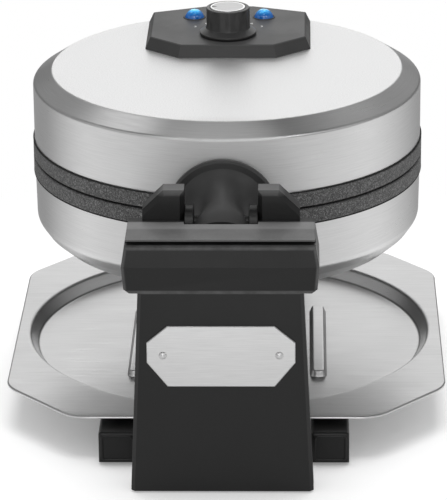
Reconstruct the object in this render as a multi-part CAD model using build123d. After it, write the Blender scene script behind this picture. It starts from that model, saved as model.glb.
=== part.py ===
from build123d import *
import math
import os

os.makedirs("parts", exist_ok=True)

# A rotary waffle maker with a folding handle. Millimetres, Z up, the user stands on the -Y side.
# The origin is on the floor, under the middle of the round cooking head.

# Overall places
AXIS_Z = 136.0              # height of the seam between the two halves, and of the flip axis
SEAM_GAP = 1.2              # open line between the two trim bands

# Running and seating clearances
RUN_FIT = 0.04              # radial clearance of a turning fit
SEAT = 0.05                 # radial clearance of a fastener in its hole
LOOSE = 0.3                 # gap between neighbours that move past each other

# Cooking head, the same for both halves
SHELL_R = 110.8             # outer radius of the pressed shells
SHELL_WALL = 1.0
SHELL_H = 49.4              # from the seam to the flat top or bottom
RIM_IN = 11.0               # edge of that flat, inside the wall
RIM_DROP = 7.0              # height of the sloping edge round the flat
RIM_ROUND = 1.2
SHELL_ROUND = 2.2
WIRE_HOLE_R = 4.0           # for the lamps' wires, under the panel
LOWER_RIM_IN = 12.4         # the lower shell is drawn in a little more
LOWER_SHOULDER_IN = 4.8
LOWER_SHOULDER_DROP = 6.6
LOWER_CORNER_DROP = 13.0
LOWER_DRAFT = 0.5           # wall leans in by this much
LOWER_ROUND = 6.0
BAND_OVER = 0.8             # trim band stands out from the shells
BAND_H = 8.9
BAND_WALL = 3.4
BAND_EDGE = 0.5             # small bevel on the band's outer corners
SHELF_Z = 4.6               # shelf in the band that carries the baking plate
SHELF_T = 3.0
SHELF_REACH = 10.6          # how far the shelf reaches in from the band's wall
SPIGOT_H = 5.0              # collar that the shell's edge slips over
SPIGOT_WALL = 3.6

# Baking plates
PLATE_FACE = 0.3            # rim face from the seam plane
PLATE_RIM_GAP = 0.5         # between the plate's edge and the band
CAVITY_IN = 21.8            # waffle's edge inside the shells' wall
CAVITY_DEPTH = 12.7
CAVITY_DRAFT = 2.5          # the wall leans out by this much
PLATE_WALL = 4.0
BOWL_BEVEL = 1.8
PLATE_SCREW_TIP = 1.4       # ends of the screws' holes, from the seam plane
GROOVE_W = 3.0              # overflow groove in the rim
GROOVE_DEPTH = 1.8
PEG_PITCH = 20.6
PEG_FIRST = 14.6            # first peg's centre from the dividing cross
PEG_BASE = 15.0
PEG_TOP = 10.6
PEG_FACE = 2.4              # tops of the pegs and of the cross, from the seam plane
PEG_MARGIN = 4.5            # clear strip between the pegs and the cavity's wall
RIDGE_MARGIN = 1.5          # cross's end from the cavity's wall
RIDGE_BASE = 8.0
RIDGE_TOP = 4.0
INSERT_GAP = 0.2            # between the grid insert and its ring
LEDGE_W = 5.0               # ring's ledge under the insert
LEDGE_T = 2.6

# Heating
ELEMENT_IN = 27.0           # element's circle inside the waffle's edge
ELEMENT_D = 6.5
ELEMENT_OPEN = 40.0         # degrees left open between its two ends
TERMINAL_D = 5.0
TERMINAL_H = 16.0
INSULATOR_D = 11.0
INSULATOR_H = 5.0
INSULATOR_STEM_R = 3.5
REFLECTOR_Z = 28.0          # inner face from the seam plane
REFLECTOR_WALL = 0.8
REFLECTOR_GAP = 1.5         # between the reflector and the plate's bowl
POST_D = 8.0
POST_IN = 11.0              # posts inside the waffle's edge
CUTOUT_D = 15.0
CUTOUT_H = 6.0
CUTOUT_X = 40.0
CUTOUT_Y = -34.0
CUTOUT_TAB_X = 4.5
CUTOUT_TAB_H = 7.0

# Control panel and thermostat, on the lid
PANEL_H = 7.0
PANEL_WALL = 2.0
PANEL_W = 96.0              # across the foot
PANEL_FRONT = 13.7
PANEL_L = 83.6              # front to back
PANEL_CUT_X = 19.6          # cut front corners
PANEL_CUT_Y = 17.3
PANEL_BACK_CUT_X = 31.0
PANEL_BACK_CUT_Y = 12.0
PANEL_LEAN = 3.0            # each side leans in by this much
PANEL_BOSS_R = 3.2
PANEL_SCREW_IN = 13.0       # screws in from the panel's sides
PANEL_SCREW_NEAR = 16.0
PANEL_SCREW_FAR = 20.0
PANEL_EDGE = 0.5
KNOB_Y = 38.5
KNOB_D = 25.4
KNOB_H = 16.2
KNOB_SKIRT_D = 33.0
KNOB_SKIRT_H = 3.7
KNOB_SKIRT_EDGE_H = 1.7      # its edge is thinner than its middle
KNOB_ROUND = 1.0            # of the knob's top edge
KNOB_CAP_D = 20.4
KNOB_CAP_T = 1.0
KNOB_CAP_OUT = 0.3          # cap above the knob's top
SPINDLE_D = 6.0
SPINDLE_FLAT = 1.2
LENS_X = 20.5
LENS_Y = 72.0
LENS_D = 11.6
LENS_H = 4.8
LED_D = 5.0
BOARD_SIDE = 19.0           # from the panel's side to the board's
BOARD_Y = 26.0
BOARD_T = 1.6
BOARD_LIFT = 1.2            # board above the lid
BOARD_PEG_R = 1.8
THERMO_D = 30.0
THERMO_AIR = 4.6            # between the thermostat and the reflector
THERMO_PLATE = 2.0
THERMO_PLATE_D = 40.0
THERMO_FLOOR = 3.0          # below the spindle's end
TAB_X = 8.0
TAB_W = 4.8
TAB_H = 9.0
TAB_OUT = 1.0
SPINDLE_IN = 5.0            # spindle's end below the knob's top

# Lid hinge, at the back of the head
LEAF_OUT = 5.8              # leaf's face in front of the band
HINGE_OUT = 4.1             # pin from the leaf's face
HINGE_UP = 16.0             # pin above the seam
HINGE_PIN_D = 4.0
KNUCKLE_R = 5.0
LEAF_W = 27.6
LEAF_LOW = 1.4
LEAF_OVER = 14.0            # leaf's top above the pin
LEAF_CORNER = 4.0
LEAF_SCREW_X = 8.0
LEAF_SCREW_UP = 9.0         # above the pin
BRACKET_W = 50.0
BRACKET_LOW = -30.0
BRACKET_GAP = 0.6           # between the leaf's face and the bracket's web
BRACKET_T = 8.0
BRACKET_TOP = 8.6
BRACKET_CORNER = 5.0
BRACKET_SCREW_X = 17.0
BRACKET_SCREW_UP = 10.0     # above the bracket's foot
HUB_WALL = 3.0
HUB_L = 3.0

# Flip shaft and its bearing in the stand
SHAFT_D = 15.0
SHAFT_WALL = 3.0
SHAFT_SET = 0.5             # shaft's end inside the bracket's web
SHAFT_END = 2.5             # shaft beyond its clip
BUSH_WALL = 2.0
BUSH_FLANGE_W = 4.5         # flange beyond the shaft
BUSH_FLANGE_T = 1.6
BUSH_L = 9.0
BLOCK_IN = 10.0             # bearing block behind the stand's front
BLOCK_L = 22.0
STOP_COLLAR_T = 4.0
STOP_PIN_D = 2.2
STOP_PIN_OUT = 2.2          # pin's middle from the shaft's surface
STOP_EDGE = 0.2             # collar beyond the pin
STOP_PIN_IN = 8.0           # pin's length in the bearing block
FLIP_RANGE = 180.0          # degrees
WASHER_T = 1.0
CLIP_T = 1.6
CLIP_W = 3.5
CLIP_DEEP = 1.0             # depth of its groove
CLIP_MOUTH = 8.0

# Stand
STAND_W = 78.0
STAND_GAP = 5.0             # between the bracket and the stand
STAND_AIR = 8.5             # between the shaft's end and the back cover
STAND_WALL = 2.5
STAND_TOP = 15.5            # above the flip axis
STAND_ROUND = 7.0
STAND_COVER_T = 2.5
STAND_BOSS = 4.0            # half width of the screws' bosses
STAND_BOSS_L = 16.0
STAND_HOLE = 1.0            # round the shaft
COVER_EDGE = 0.8
COLUMN_W = 30.0
COLUMN_FOOT_W = 62.0
COLUMN_FOOT_T = 6.0
COLUMN_WALL = 4.0
GLAND_Z = 40.0
GLAND_D = 18.0
GLAND_BORE = 8.0
GLAND_L = 9.0

# Base frame with its two rails
RAIL_IN = 48.0
RAIL_W = 21.0
RAIL_AHEAD = 10.9           # rails' front ends beyond the tray
RAIL_TOP = 16.1
RAIL_LOW = 1.2
RAIL_WALL = 3.0
RAIL_WEB = 2.0              # stiffening web under each rail
RAIL_END_UP = 3.4           # raised front ends
RAIL_END_L = 20.5
RAIL_ROUND = 1.8
BEAD_W = 5.0
BEAD_H = 2.6
BEAD_EDGE = 0.8
BEAD_SHORT = 4.0            # bead's ends inside the rib's
DECK_POST_R = 4.0
FOOT_D = 15.0
FOOT_INSET = 12.0
FOOT_SINK = 3.0
FOOT_STEM_R = 5.5
BASE_PLATE_T = 1.5

# Drip tray
WELL_OUT = 6.0              # well's edge outside the bands
WELL_LEAN = 5.7
TRAY_SIDE = 6.4             # rim beside the well
TRAY_FRONT = 14.5           # rim in front of the well
TRAY_GAP = 7.0              # between the tray and the stand
TRAY_OVER = 3.6             # tray's edge above the rails' ends
TRAY_SHEET = 0.8
TRAY_SKIRT = 1.4            # turned-down edge
TRAY_CUT_X = 40.0           # cut corners
TRAY_CUT_X_FAR = 32.0
TRAY_CUT_NEAR = 43.0
TRAY_CUT_FAR = 38.0
TRAY_CORNER = 9.0
TRAY_EDGE = 0.6             # rounded pressed edge
RIB_W = 9.8
RIB_BY = 0.6                # rib's inner edge beside the rail's
RIB_H = 3.4
RIB_ROUND = 2.4
RIB_NEAR = 60.0
RIB_FAR = 43.0

# Handle neck, on the lid
NECK_FLANGE_R = 30.4
NECK_FLANGE_UP = 1.6         # flange's middle above the seam
NECK_FLANGE_T = 3.0
NECK_FLANGE_EDGE = 1.2
NECK_GAP = 1.0              # flange in front of the lower band
NECK_PAST = 8.0             # neck's end beyond the handle's pin
NECK_PROFILE = (            # half width, top and bottom at places in front of the flange
    (-0.5, 26.5, 28.1, -24.9),
    (3.0, 19.6, 24.6, -21.0),
    (8.0, 13.4, 21.4, -18.0),
    (14.0, 11.4, 19.0, -16.0),
    (24.4, 14.4, 16.4, -13.0),
)
NECK_TIP = (16.4, 10.6, -9.0)
NECK_SCREW_X = 15.0
NECK_SCREW_UP = 21.0
NECK_SCREW_IN = -0.8        # screw's tip short of the flange's face

# Folding handle, folded down as it is stored
PIVOT_OUT = 28.4            # handle pin in front of the neck's flange
PIVOT_UP = 8.0              # handle pin above the seam
PIN_D = 6.0
EAR_IN = 19.7
EAR_OUT = 42.0
EAR_TOP_OUT = 31.0
EAR_TOP = 27.3              # above the seam
EAR_CUT = 10.8
EAR_AHEAD = 7.0
EAR_BEHIND = 5.4
EAR_EDGE = 2.2
EAR_SINK = 8.0              # ears run this far down into the bar
PIN_END = 4.0               # pin's end inside the ears
HUB_GAP = 4.0               # room in the handle round the spacers
NECK_ROOM = 1.2             # room ahead of the neck's end
NECK_ROOM_LOW = -15.0
SPACER_R = 9.0
BAR_TOP = 11.0              # above the seam
BAR_CREASE = -4.5
BAR_BOTTOM = -20.0
BAR_TOP_W = 99.4
BAR_CREASE_W = 104.6
BAR_BOTTOM_W = 101.4
BAR_AHEAD = 3.0             # bar's back in front of the pin
BAR_FRONT = 37.0            # bar's crease in front of the pin
BAR_LEVEL = 20.0            # bar's top falls away from here, in front of the pin
BAR_DROP = 1.0              # by this much at its front edge
BAR_LEAN = 3.2              # crease stands out in front of the top edge
BAR_CORNER = 2.4
BAR_FLARE = 0.6
BAR_LAP = 4.0               # grip runs this far up into the bar
PADDLE_TOP_W = 87.6
PADDLE_FOOT_W = 98.8
PADDLE_T = 18.0
PADDLE_SET = 2.5            # paddle's front behind the bar's crease
PADDLE_LOW = 1.0            # above the floor
PADDLE_BEVEL = 2.0
COVER_T = 6.5               # front cover's depth
COVER_WALL = 2.6
COVER_CREST = 1.2           # cut edge along the cover's top
HANDLE_GROOVE = 2.0
HANDLE_SCREW_X = 36.0
HANDLE_SCREW_DOWN = 15.0    # upper screws below the bar
HANDLE_SCREW_UP = 17.0      # lower screws above the grip's foot
BOSS_WALL = 2.0             # wall round a screw's head
BOSS_L = 4.0
COVER_BOSS_R = 3.4
RIVET_IN = 2.0              # rivet's stem in the cover

# Plain plate on the handle
PLAQUE_W = 79.0
PLAQUE_H = 34.6
PLAQUE_TOP_W = 57.2
PLAQUE_SIDE_H = 11.6
PLAQUE_T = 1.2
PLAQUE_EDGE = 0.4
PLAQUE_Z = 80.2             # above the floor
PLAQUE_SIDE_UP = 2.2        # its side corners sit this far above its middle
RIVET_X = 31.0
RIVET_UP = 0.8
RIVET_D = 4.4
RIVET_STEM_D = 3.2
RIVET_H = 1.3

# Fasteners
SCREW_D = 3.0
HEAD_D = 5.6
HEAD_H = 2.0
SCREW_ROOM = 1.0            # free depth ahead of a screw's tip
SHELL_SCREW_L = 8.0
COLUMN_SCREW_IN = 9.0       # below the deck's top
COVER_SCREW_IN = 12.0       # ahead of the back cover
SUNK_HEAD_H = 0.6

# Worked-out places: the head
HALF_GAP = SEAM_GAP / 2
BAND_END = HALF_GAP + BAND_H
BAND_R = SHELL_R + BAND_OVER
SHELL_IN = SHELL_R - SHELL_WALL
RIM_R = SHELL_R - RIM_IN
LOWER_RIM_R = SHELL_R - LOWER_RIM_IN
LOWER_SHOULDER_R = SHELL_R - LOWER_SHOULDER_IN
ROOF_IN = SHELL_H - SHELL_WALL
BAND_IN = BAND_R - BAND_WALL
SHELF_IN = BAND_IN - SHELF_REACH
SPIGOT_R = SHELL_IN - 2 * SEAT
SPIGOT_IN = SPIGOT_R - SPIGOT_WALL
CAVITY_R = SHELL_R - CAVITY_IN
BOWL_R = SHELF_IN - LOOSE
BOWL_BACK = CAVITY_DEPTH + PLATE_WALL
PLATE_R = BAND_IN - PLATE_RIM_GAP
INSERT_R = CAVITY_R - INSERT_GAP
ELEMENT_R = CAVITY_R - ELEMENT_IN
ELEMENT_Z = BOWL_BACK + ELEMENT_D / 2
REFLECTOR_R = SHELF_IN + REFLECTOR_GAP
REFLECTOR_BACK = REFLECTOR_Z + REFLECTOR_WALL
PLATE_SCREW_R = REFLECTOR_R + REFLECTOR_WALL + HEAD_D / 2 + 2 * SEAT
POST_R = CAVITY_R - POST_IN

# Worked-out places: the panel
PANEL_BACK = PANEL_FRONT + PANEL_L
PANEL_TOP = SHELL_H + PANEL_H
PANEL_CEILING = PANEL_TOP - PANEL_WALL
PANEL_MID_Y = (PANEL_FRONT + PANEL_BACK) / 2
BOARD_X = PANEL_W - 2 * BOARD_SIDE
BOARD_Z = SHELL_H + BOARD_LIFT
THERMO_LOW = REFLECTOR_BACK + THERMO_AIR
LENS_STEM_R = LENS_D / 2 - 1
LENS_LOW = PANEL_CEILING - 0.6

# Worked-out places: from the head back to the stand
LEAF_FACE = BAND_R + LEAF_OUT
LEAF_HIGH = HINGE_UP + LEAF_OVER
HINGE_Y = LEAF_FACE + HINGE_OUT
BRACKET_FRONT = LEAF_FACE + BRACKET_GAP
BRACKET_BACK = BRACKET_FRONT + BRACKET_T
SHAFT_R = SHAFT_D / 2
SHAFT_FRONT = BRACKET_FRONT + SHAFT_SET
STAND_FRONT = BRACKET_BACK + STAND_GAP
BLOCK_FRONT = STAND_FRONT + BLOCK_IN
BLOCK_BACK = BLOCK_FRONT + BLOCK_L
BLOCK_TOP = STAND_TOP - STAND_WALL - LOOSE
BUSH_FLANGE_R = SHAFT_R + BUSH_FLANGE_W
BUSH_R = SHAFT_R + RUN_FIT + BUSH_WALL
STOP_PIN_R = SHAFT_R + STOP_PIN_OUT
STOP_COLLAR_R = STOP_PIN_R + STOP_PIN_D / 2 + STOP_EDGE
COLLAR_BACK = BLOCK_FRONT - BUSH_FLANGE_T - LOOSE
CLIP_PLACE = BLOCK_BACK + BUSH_FLANGE_T + WASHER_T + LOOSE
CLIP_R = SHAFT_R + CLIP_W
SHAFT_BACK = CLIP_PLACE + CLIP_T + SHAFT_END
STAND_BACK = SHAFT_BACK + STAND_AIR
COVER_BACK = STAND_BACK + STAND_COVER_T
GLAND_STEM_R = GLAND_D / 2 - 2

# Worked-out places: the tray and the rails
WELL_R = BAND_R + WELL_OUT
WELL_FLOOR_R = WELL_R - WELL_LEAN
TRAY_W = 2 * (WELL_R + TRAY_SIDE)
TRAY_NEAR = WELL_R + TRAY_FRONT
TRAY_FAR = STAND_FRONT - TRAY_GAP
RAIL_OUT = RAIL_IN + RAIL_W
RAIL_FRONT = TRAY_NEAR + RAIL_AHEAD
RAIL_END_TOP = RAIL_TOP + RAIL_END_UP
TRAY_TOP = RAIL_END_TOP + TRAY_OVER + TRAY_SKIRT
TRAY_FLOOR = RAIL_TOP + LOOSE + TRAY_SHEET
RIB_IN = RAIL_IN - RIB_BY
RIB_OUT = RIB_IN + RIB_W

# Worked-out places: from the head forward to the handle
FLANGE_BACK = BAND_R + NECK_GAP
FLANGE_FACE = FLANGE_BACK + NECK_FLANGE_T
PIVOT_Y = FLANGE_FACE + PIVOT_OUT
NECK_END = PIVOT_Y + NECK_PAST
NECK_BOSS = NECK_PROFILE[-1][1]
EAR_FRONT = PIVOT_Y + EAR_AHEAD
EAR_BACK = PIVOT_Y - EAR_BEHIND
BAR_BACK = PIVOT_Y + BAR_AHEAD
HANDLE_FRONT = PIVOT_Y + BAR_FRONT
PADDLE_FRONT = HANDLE_FRONT - PADDLE_SET
PADDLE_BACK = PADDLE_FRONT - PADDLE_T
PADDLE_FOOT = PADDLE_LOW - AXIS_Z
PARTING = PADDLE_FRONT - COVER_T
HANDLE_SEAT = -PADDLE_BACK - HEAD_H - LOOSE
RIVET_Z = PLAQUE_Z + RIVET_UP


def around(radius, count, first):
    """(x, y) places spread evenly on a circle, the first at an angle in degrees."""
    turns = [math.radians(first + 360 * i / count) for i in range(count)]
    return [(radius * math.cos(a), radius * math.sin(a)) for a in turns]


def pairs(out, places):
    """The same places on the right and on the left, out from the middle."""
    return [(side * out, place) for side in (1, -1) for place in places]


# Places of the fasteners and feet: (x, y), or (x, height) for those that run along Y
PLATE_SCREWS = around(PLATE_SCREW_R, 4, 30)
POSTS = around(POST_R, 4, 45)
ELEMENT_ENDS = [around(ELEMENT_R, 1, 180 + side * ELEMENT_OPEN / 2)[0] for side in (1, -1)]
PANEL_SCREW_Y = (PANEL_MID_Y - PANEL_SCREW_NEAR, PANEL_MID_Y + PANEL_SCREW_FAR)
PANEL_SCREWS = pairs(PANEL_W / 2 - PANEL_SCREW_IN, PANEL_SCREW_Y)
BOARD_PEGS = pairs(BOARD_X / 2 - 4, (LENS_Y - BOARD_Y / 2 + 4, LENS_Y + BOARD_Y / 2 - 4))
LEAF_SCREWS = pairs(LEAF_SCREW_X, (HINGE_UP + LEAF_SCREW_UP,))
BRACKET_SCREWS = pairs(BRACKET_SCREW_X, (BRACKET_LOW + BRACKET_SCREW_UP,))
NECK_SCREWS = pairs(NECK_SCREW_X, (NECK_SCREW_UP,))
COLUMN_SCREWS = pairs(COLUMN_FOOT_W / 2 - 6, (BLOCK_FRONT + 5, BLOCK_BACK - 5))
COVER_SCREWS = pairs(STAND_W / 2 - 7, (RAIL_TOP + 12, AXIS_Z - 10))
FEET = pairs((RAIL_IN + RAIL_OUT) / 2, (-RAIL_FRONT + FOOT_INSET, COVER_BACK - FOOT_INSET))
HANDLE_SCREWS = pairs(HANDLE_SCREW_X, (BAR_BOTTOM - HANDLE_SCREW_DOWN, PADDLE_FOOT + HANDLE_SCREW_UP))


def save(name, shape):
    """Write one sub-part to its own file."""
    export_step(shape, f"parts/{name}.step")


def turned(points):
    """A solid of revolution about Z from a closed outline of (radius, height) points."""
    line = Polyline(*[(r, 0, z) for r, z in points], close=True)
    return revolve(make_face(line), axis=Axis.Z)


def drum(radius, low, high, x=0.0, y=0.0):
    """An upright cylinder between two heights."""
    return Pos(x, y, (low + high) / 2) * Cylinder(radius, high - low)


def rod_y(radius, front, back, x=0.0, z=0.0):
    """A cylinder along Y between two places."""
    return Pos(x, (front + back) / 2, z) * Rot(90, 0, 0) * Cylinder(radius, back - front)


def rod_x(radius, left, right, y=0.0, z=0.0):
    """A cylinder along X between two places."""
    return Pos((left + right) / 2, y, z) * Rot(0, 90, 0) * Cylinder(radius, right - left)


def block(x0, x1, y0, y1, z0, z1):
    """A box between two corners."""
    return Pos((x0 + x1) / 2, (y0 + y1) / 2, (z0 + z1) / 2) * Box(x1 - x0, y1 - y0, z1 - z0)


def wall_of(points, front, back):
    """A prism along Y from an outline of (x, z) points."""
    face = make_face(Polyline(*[(x, front, z) for x, z in points], close=True))
    return extrude(face, back - front, dir=(0, 1, 0))


def side_of(points, left, right):
    """A prism along X from an outline of (y, z) points."""
    face = make_face(Polyline(*[(left, y, z) for y, z in points], close=True))
    return extrude(face, right - left, dir=(1, 0, 0))


def ring_edges(shape, radius, height):
    """The circular edges of that radius at that height."""
    found = []
    for edge in shape.edges().filter_by(GeomType.CIRCLE):
        if abs(edge.radius - radius) < 0.02 and abs(edge.arc_center.Z - height) < 0.02:
            found.append(edge)
    return found


def upper(shape):
    """Move a half-head piece, drawn above a seam at height 0, to the upper half."""
    return Pos(0, 0, AXIS_Z) * shape


def lower(shape):
    """Mirror the same piece down to the lower half."""
    return Pos(0, 0, AXIS_Z) * mirror(shape, about=Plane.XY)


def together(shapes):
    """Separate solids kept in one group."""
    return Compound(children=[s.solid() for s in shapes])


def screw_up(x, y, seat, tip):
    """A pan-head screw that points up, its head under the seat height."""
    return drum(SCREW_D / 2, seat - 0.5, tip, x, y) + drum(HEAD_D / 2, seat - HEAD_H, seat, x, y)


def screw_y(x, z, seat, tip):
    """A pan-head screw along Y, its head beyond the seat and its tip at the far place."""
    sign = 1 if tip > seat else -1
    ends = sorted((seat - sign * 0.5, tip))
    heads = sorted((seat, seat - sign * HEAD_H))
    return rod_y(SCREW_D / 2, *ends, x, z) + rod_y(HEAD_D / 2, *heads, x, z)


# The two halves of the head: bands, baking plates, elements and reflectors

def band():
    """Trim ring with the shelf that the baking plate rests on and a collar for the shell."""
    outline = [
        (BAND_IN, HALF_GAP),
        (BAND_R - BAND_EDGE, HALF_GAP),
        (BAND_R, HALF_GAP + BAND_EDGE),
        (BAND_R, BAND_END - BAND_EDGE),
        (BAND_R - BAND_EDGE, BAND_END),
        (SPIGOT_R, BAND_END),
        (SPIGOT_R, BAND_END + SPIGOT_H),
        (SPIGOT_IN, BAND_END + SPIGOT_H),
        (SPIGOT_IN, SHELF_Z + SHELF_T),
        (SHELF_IN, SHELF_Z + SHELF_T),
        (SHELF_IN, SHELF_Z),
        (BAND_IN, SHELF_Z),
    ]
    ring = turned(outline)
    for x, y in PLATE_SCREWS:
        ring -= drum(SCREW_D / 2 + SEAT, 0, SHELF_Z + SHELF_T + 1, x, y)
    return ring


def peg_grid():
    """Tapered pegs of the waffle pattern, cut off near the cavity's wall."""
    steps = int(CAVITY_R / PEG_PITCH) + 1
    line = [s * (PEG_FIRST + i * PEG_PITCH) for i in range(steps) for s in (1, -1)]
    reach = CAVITY_R - PEG_MARGIN
    pegs = []
    height = CAVITY_DEPTH - PEG_FACE
    for x in line:
        for y in line:
            if math.hypot(abs(x) - PEG_BASE / 4, abs(y) - PEG_BASE / 4) > reach:
                continue
            foot = Pos(x, y, CAVITY_DEPTH) * Rectangle(PEG_BASE, PEG_BASE)
            face = Pos(x, y, CAVITY_DEPTH - height) * Rectangle(PEG_TOP, PEG_TOP)
            pegs.append(loft([foot, face]))
    return [peg & drum(reach, 0, CAVITY_DEPTH) for peg in pegs]


def ridge(turn):
    """One arm of the cross that divides the waffle into quarters."""
    reach = CAVITY_R - RIDGE_MARGIN
    outline = [
        (-RIDGE_BASE / 2, CAVITY_DEPTH),
        (RIDGE_BASE / 2, CAVITY_DEPTH),
        (RIDGE_TOP / 2, PEG_FACE),
        (-RIDGE_TOP / 2, PEG_FACE),
    ]
    return Rot(0, 0, turn) * wall_of(outline, -reach, reach)


def plate_ring():
    """Cast ring round the waffle: rim with its overflow groove, cavity wall and ledge."""
    groove_in = CAVITY_R + CAVITY_DRAFT + GROOVE_W / 2
    ledge = BOWL_BACK + LEDGE_T
    outline = [
        (CAVITY_R, CAVITY_DEPTH),
        (CAVITY_R + CAVITY_DRAFT, PLATE_FACE),
        (groove_in, PLATE_FACE),
        (groove_in, PLATE_FACE + GROOVE_DEPTH),
        (groove_in + GROOVE_W, PLATE_FACE + GROOVE_DEPTH),
        (groove_in + GROOVE_W, PLATE_FACE),
        (PLATE_R, PLATE_FACE),
        (PLATE_R, SHELF_Z),
        (BOWL_R, SHELF_Z),
        (BOWL_R, ledge - BOWL_BEVEL),
        (BOWL_R - BOWL_BEVEL, ledge),
        (CAVITY_R - LEDGE_W, ledge),
        (CAVITY_R - LEDGE_W, BOWL_BACK),
        (CAVITY_R, BOWL_BACK),
    ]
    ring = turned(outline)
    for x, y in PLATE_SCREWS:
        ring -= drum(SCREW_D / 2 + SEAT, PLATE_SCREW_TIP, SHELF_Z + 1, x, y)
    return ring


def baking_plate():
    """Round cast insert with the waffle's pegs and the cross that divides it."""
    plate = drum(INSERT_R, CAVITY_DEPTH, BOWL_BACK) + ridge(0) + ridge(90)
    plate += peg_grid()
    return plate


def element():
    """Tubular heater: most of a circle, with a terminal at each end."""
    start = ELEMENT_OPEN / 2 - 180
    arc = CenterArc((0, 0, ELEMENT_Z), ELEMENT_R, start, 360 - ELEMENT_OPEN)
    tube = sweep(Plane(arc @ 0, z_dir=arc % 0) * Circle(ELEMENT_D / 2), path=arc)
    for x, y in ELEMENT_ENDS:
        tube += Pos(x, y, ELEMENT_Z) * Sphere(ELEMENT_D / 2)
        tube += drum(TERMINAL_D / 2, ELEMENT_Z, ELEMENT_Z + TERMINAL_H, x, y)
    return tube


def insulators():
    """Ceramic sleeves where the terminals pass through the reflector."""
    sleeves = []
    for x, y in ELEMENT_ENDS:
        sleeve = drum(INSULATOR_D / 2, REFLECTOR_BACK, REFLECTOR_BACK + INSULATOR_H, x, y)
        sleeve += drum(INSULATOR_STEM_R, REFLECTOR_Z - 1, REFLECTOR_BACK + 1, x, y)
        sleeves.append(sleeve - drum(TERMINAL_D / 2 + SEAT, 0, SHELL_H, x, y))
    return sleeves


def reflector():
    """Thin dish behind the element, its flange under the band's shelf."""
    flange = SHELF_Z + SHELF_T
    outline = [
        (0, REFLECTOR_Z),
        (REFLECTOR_R, REFLECTOR_Z),
        (REFLECTOR_R, flange),
        (SPIGOT_IN - LOOSE, flange),
        (SPIGOT_IN - LOOSE, flange + REFLECTOR_WALL),
        (REFLECTOR_R + REFLECTOR_WALL, flange + REFLECTOR_WALL),
        (REFLECTOR_R + REFLECTOR_WALL, REFLECTOR_BACK),
        (0, REFLECTOR_BACK),
    ]
    dish = turned(outline)
    for x, y in PLATE_SCREWS:
        dish -= drum(SCREW_D / 2 + SEAT, 0, flange + 2, x, y)
    for x, y in ELEMENT_ENDS:
        dish -= drum(INSULATOR_STEM_R + SEAT, REFLECTOR_Z - 1, REFLECTOR_BACK + 1, x, y)
    return dish


def plate_screws():
    """Screws through the reflector's flange and the shelf into the plate's rim."""
    seat = SHELF_Z + SHELF_T + REFLECTOR_WALL
    found = []
    for x, y in PLATE_SCREWS:
        screw = drum(SCREW_D / 2, PLATE_SCREW_TIP + 2 * SEAT, seat + 0.5, x, y)
        found.append(screw + drum(HEAD_D / 2, seat, seat + HEAD_H, x, y))
    return found


def posts():
    """Spacers between the reflector and the shell's flat."""
    return [drum(POST_D / 2, REFLECTOR_BACK, ROOF_IN, x, y) for x, y in POSTS]


def halves():
    """Write what both halves of the head have."""
    for name, put in (("upper", upper), ("lower", lower)):
        save(f"{name}_band", put(band()))
        save(f"{name}_plate_ring", put(plate_ring()))
        save(f"{name}_baking_plate", put(baking_plate()))
        save(f"{name}_heating_element", put(element()))
        save(f"{name}_reflector", put(reflector()))
        save(f"{name}_insulators", together([put(s) for s in insulators()]))
        save(f"{name}_plate_screws", together([put(s) for s in plate_screws()]))


# Lid shell, control panel, thermostat and knob

def panel_outline(lean, height):
    """Octagon of the panel, pulled in by lean, at a height above the seam."""
    half = PANEL_W / 2 - lean
    front = PANEL_FRONT + lean
    back = PANEL_BACK - lean
    cut_x = PANEL_CUT_X - lean * 0.4
    cut_y = PANEL_CUT_Y - lean * 0.4
    points = [
        (-half + cut_x, front),
        (half - cut_x, front),
        (half, front + cut_y),
        (half, back - PANEL_BACK_CUT_Y),
        (half - PANEL_BACK_CUT_X, back),
        (-half + PANEL_BACK_CUT_X, back),
        (-half, back - PANEL_BACK_CUT_Y),
        (-half, front + cut_y),
    ]
    return make_face(Polyline(*[(x, y, height) for x, y in points], close=True))


def control_panel():
    """Hollow octagonal cover on the lid's flat."""
    body = loft([panel_outline(0, SHELL_H), panel_outline(PANEL_LEAN, PANEL_TOP)])
    hollow = loft([
        panel_outline(PANEL_WALL, SHELL_H),
        panel_outline(PANEL_LEAN + PANEL_WALL * 0.8, PANEL_CEILING),
    ])
    body = chamfer(body.faces().sort_by(Axis.Z)[-1].edges(), PANEL_EDGE)
    body -= hollow
    for x, y in PANEL_SCREWS:
        body += drum(PANEL_BOSS_R, SHELL_H, PANEL_CEILING, x, y)
        body -= drum(SCREW_D / 2 + SEAT, SHELL_H, PANEL_CEILING - 0.8, x, y)
    for x, y in BOARD_PEGS:
        body += drum(BOARD_PEG_R, BOARD_Z + BOARD_T, PANEL_CEILING, x, y)
    for side in (1, -1):
        body -= drum(LENS_STEM_R, SHELL_H, PANEL_TOP + 1, side * LENS_X, LENS_Y)
    body -= drum(SPINDLE_D / 2 + LOOSE, SHELL_H, PANEL_TOP + 1, 0, KNOB_Y)
    return upper(body)


def lens(side):
    """Domed indicator lens with a stem through the panel."""
    radius = LENS_D / 2
    dome_r = (radius**2 + LENS_H**2) / (2 * LENS_H)
    dome = Pos(0, 0, PANEL_TOP + LENS_H - dome_r) * Sphere(dome_r)
    dome &= drum(radius + 1, PANEL_TOP, PANEL_TOP + LENS_H + 1)
    stem = drum(LENS_STEM_R - SEAT, LENS_LOW, PANEL_TOP)
    return upper(Pos(side * LENS_X, LENS_Y, 0) * (dome + stem))


def board():
    """Indicator circuit board under the panel."""
    low = BOARD_Z
    half = BOARD_X / 2
    sheet = block(-half, half, LENS_Y - BOARD_Y / 2, LENS_Y + BOARD_Y / 2, low, low + BOARD_T)
    return upper(sheet)


def leds():
    """The two lamps that stand on the board under their lenses."""
    low = BOARD_Z + BOARD_T
    return [upper(drum(LED_D / 2, low, LENS_LOW, side * LENS_X, LENS_Y)) for side in (1, -1)]


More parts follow.
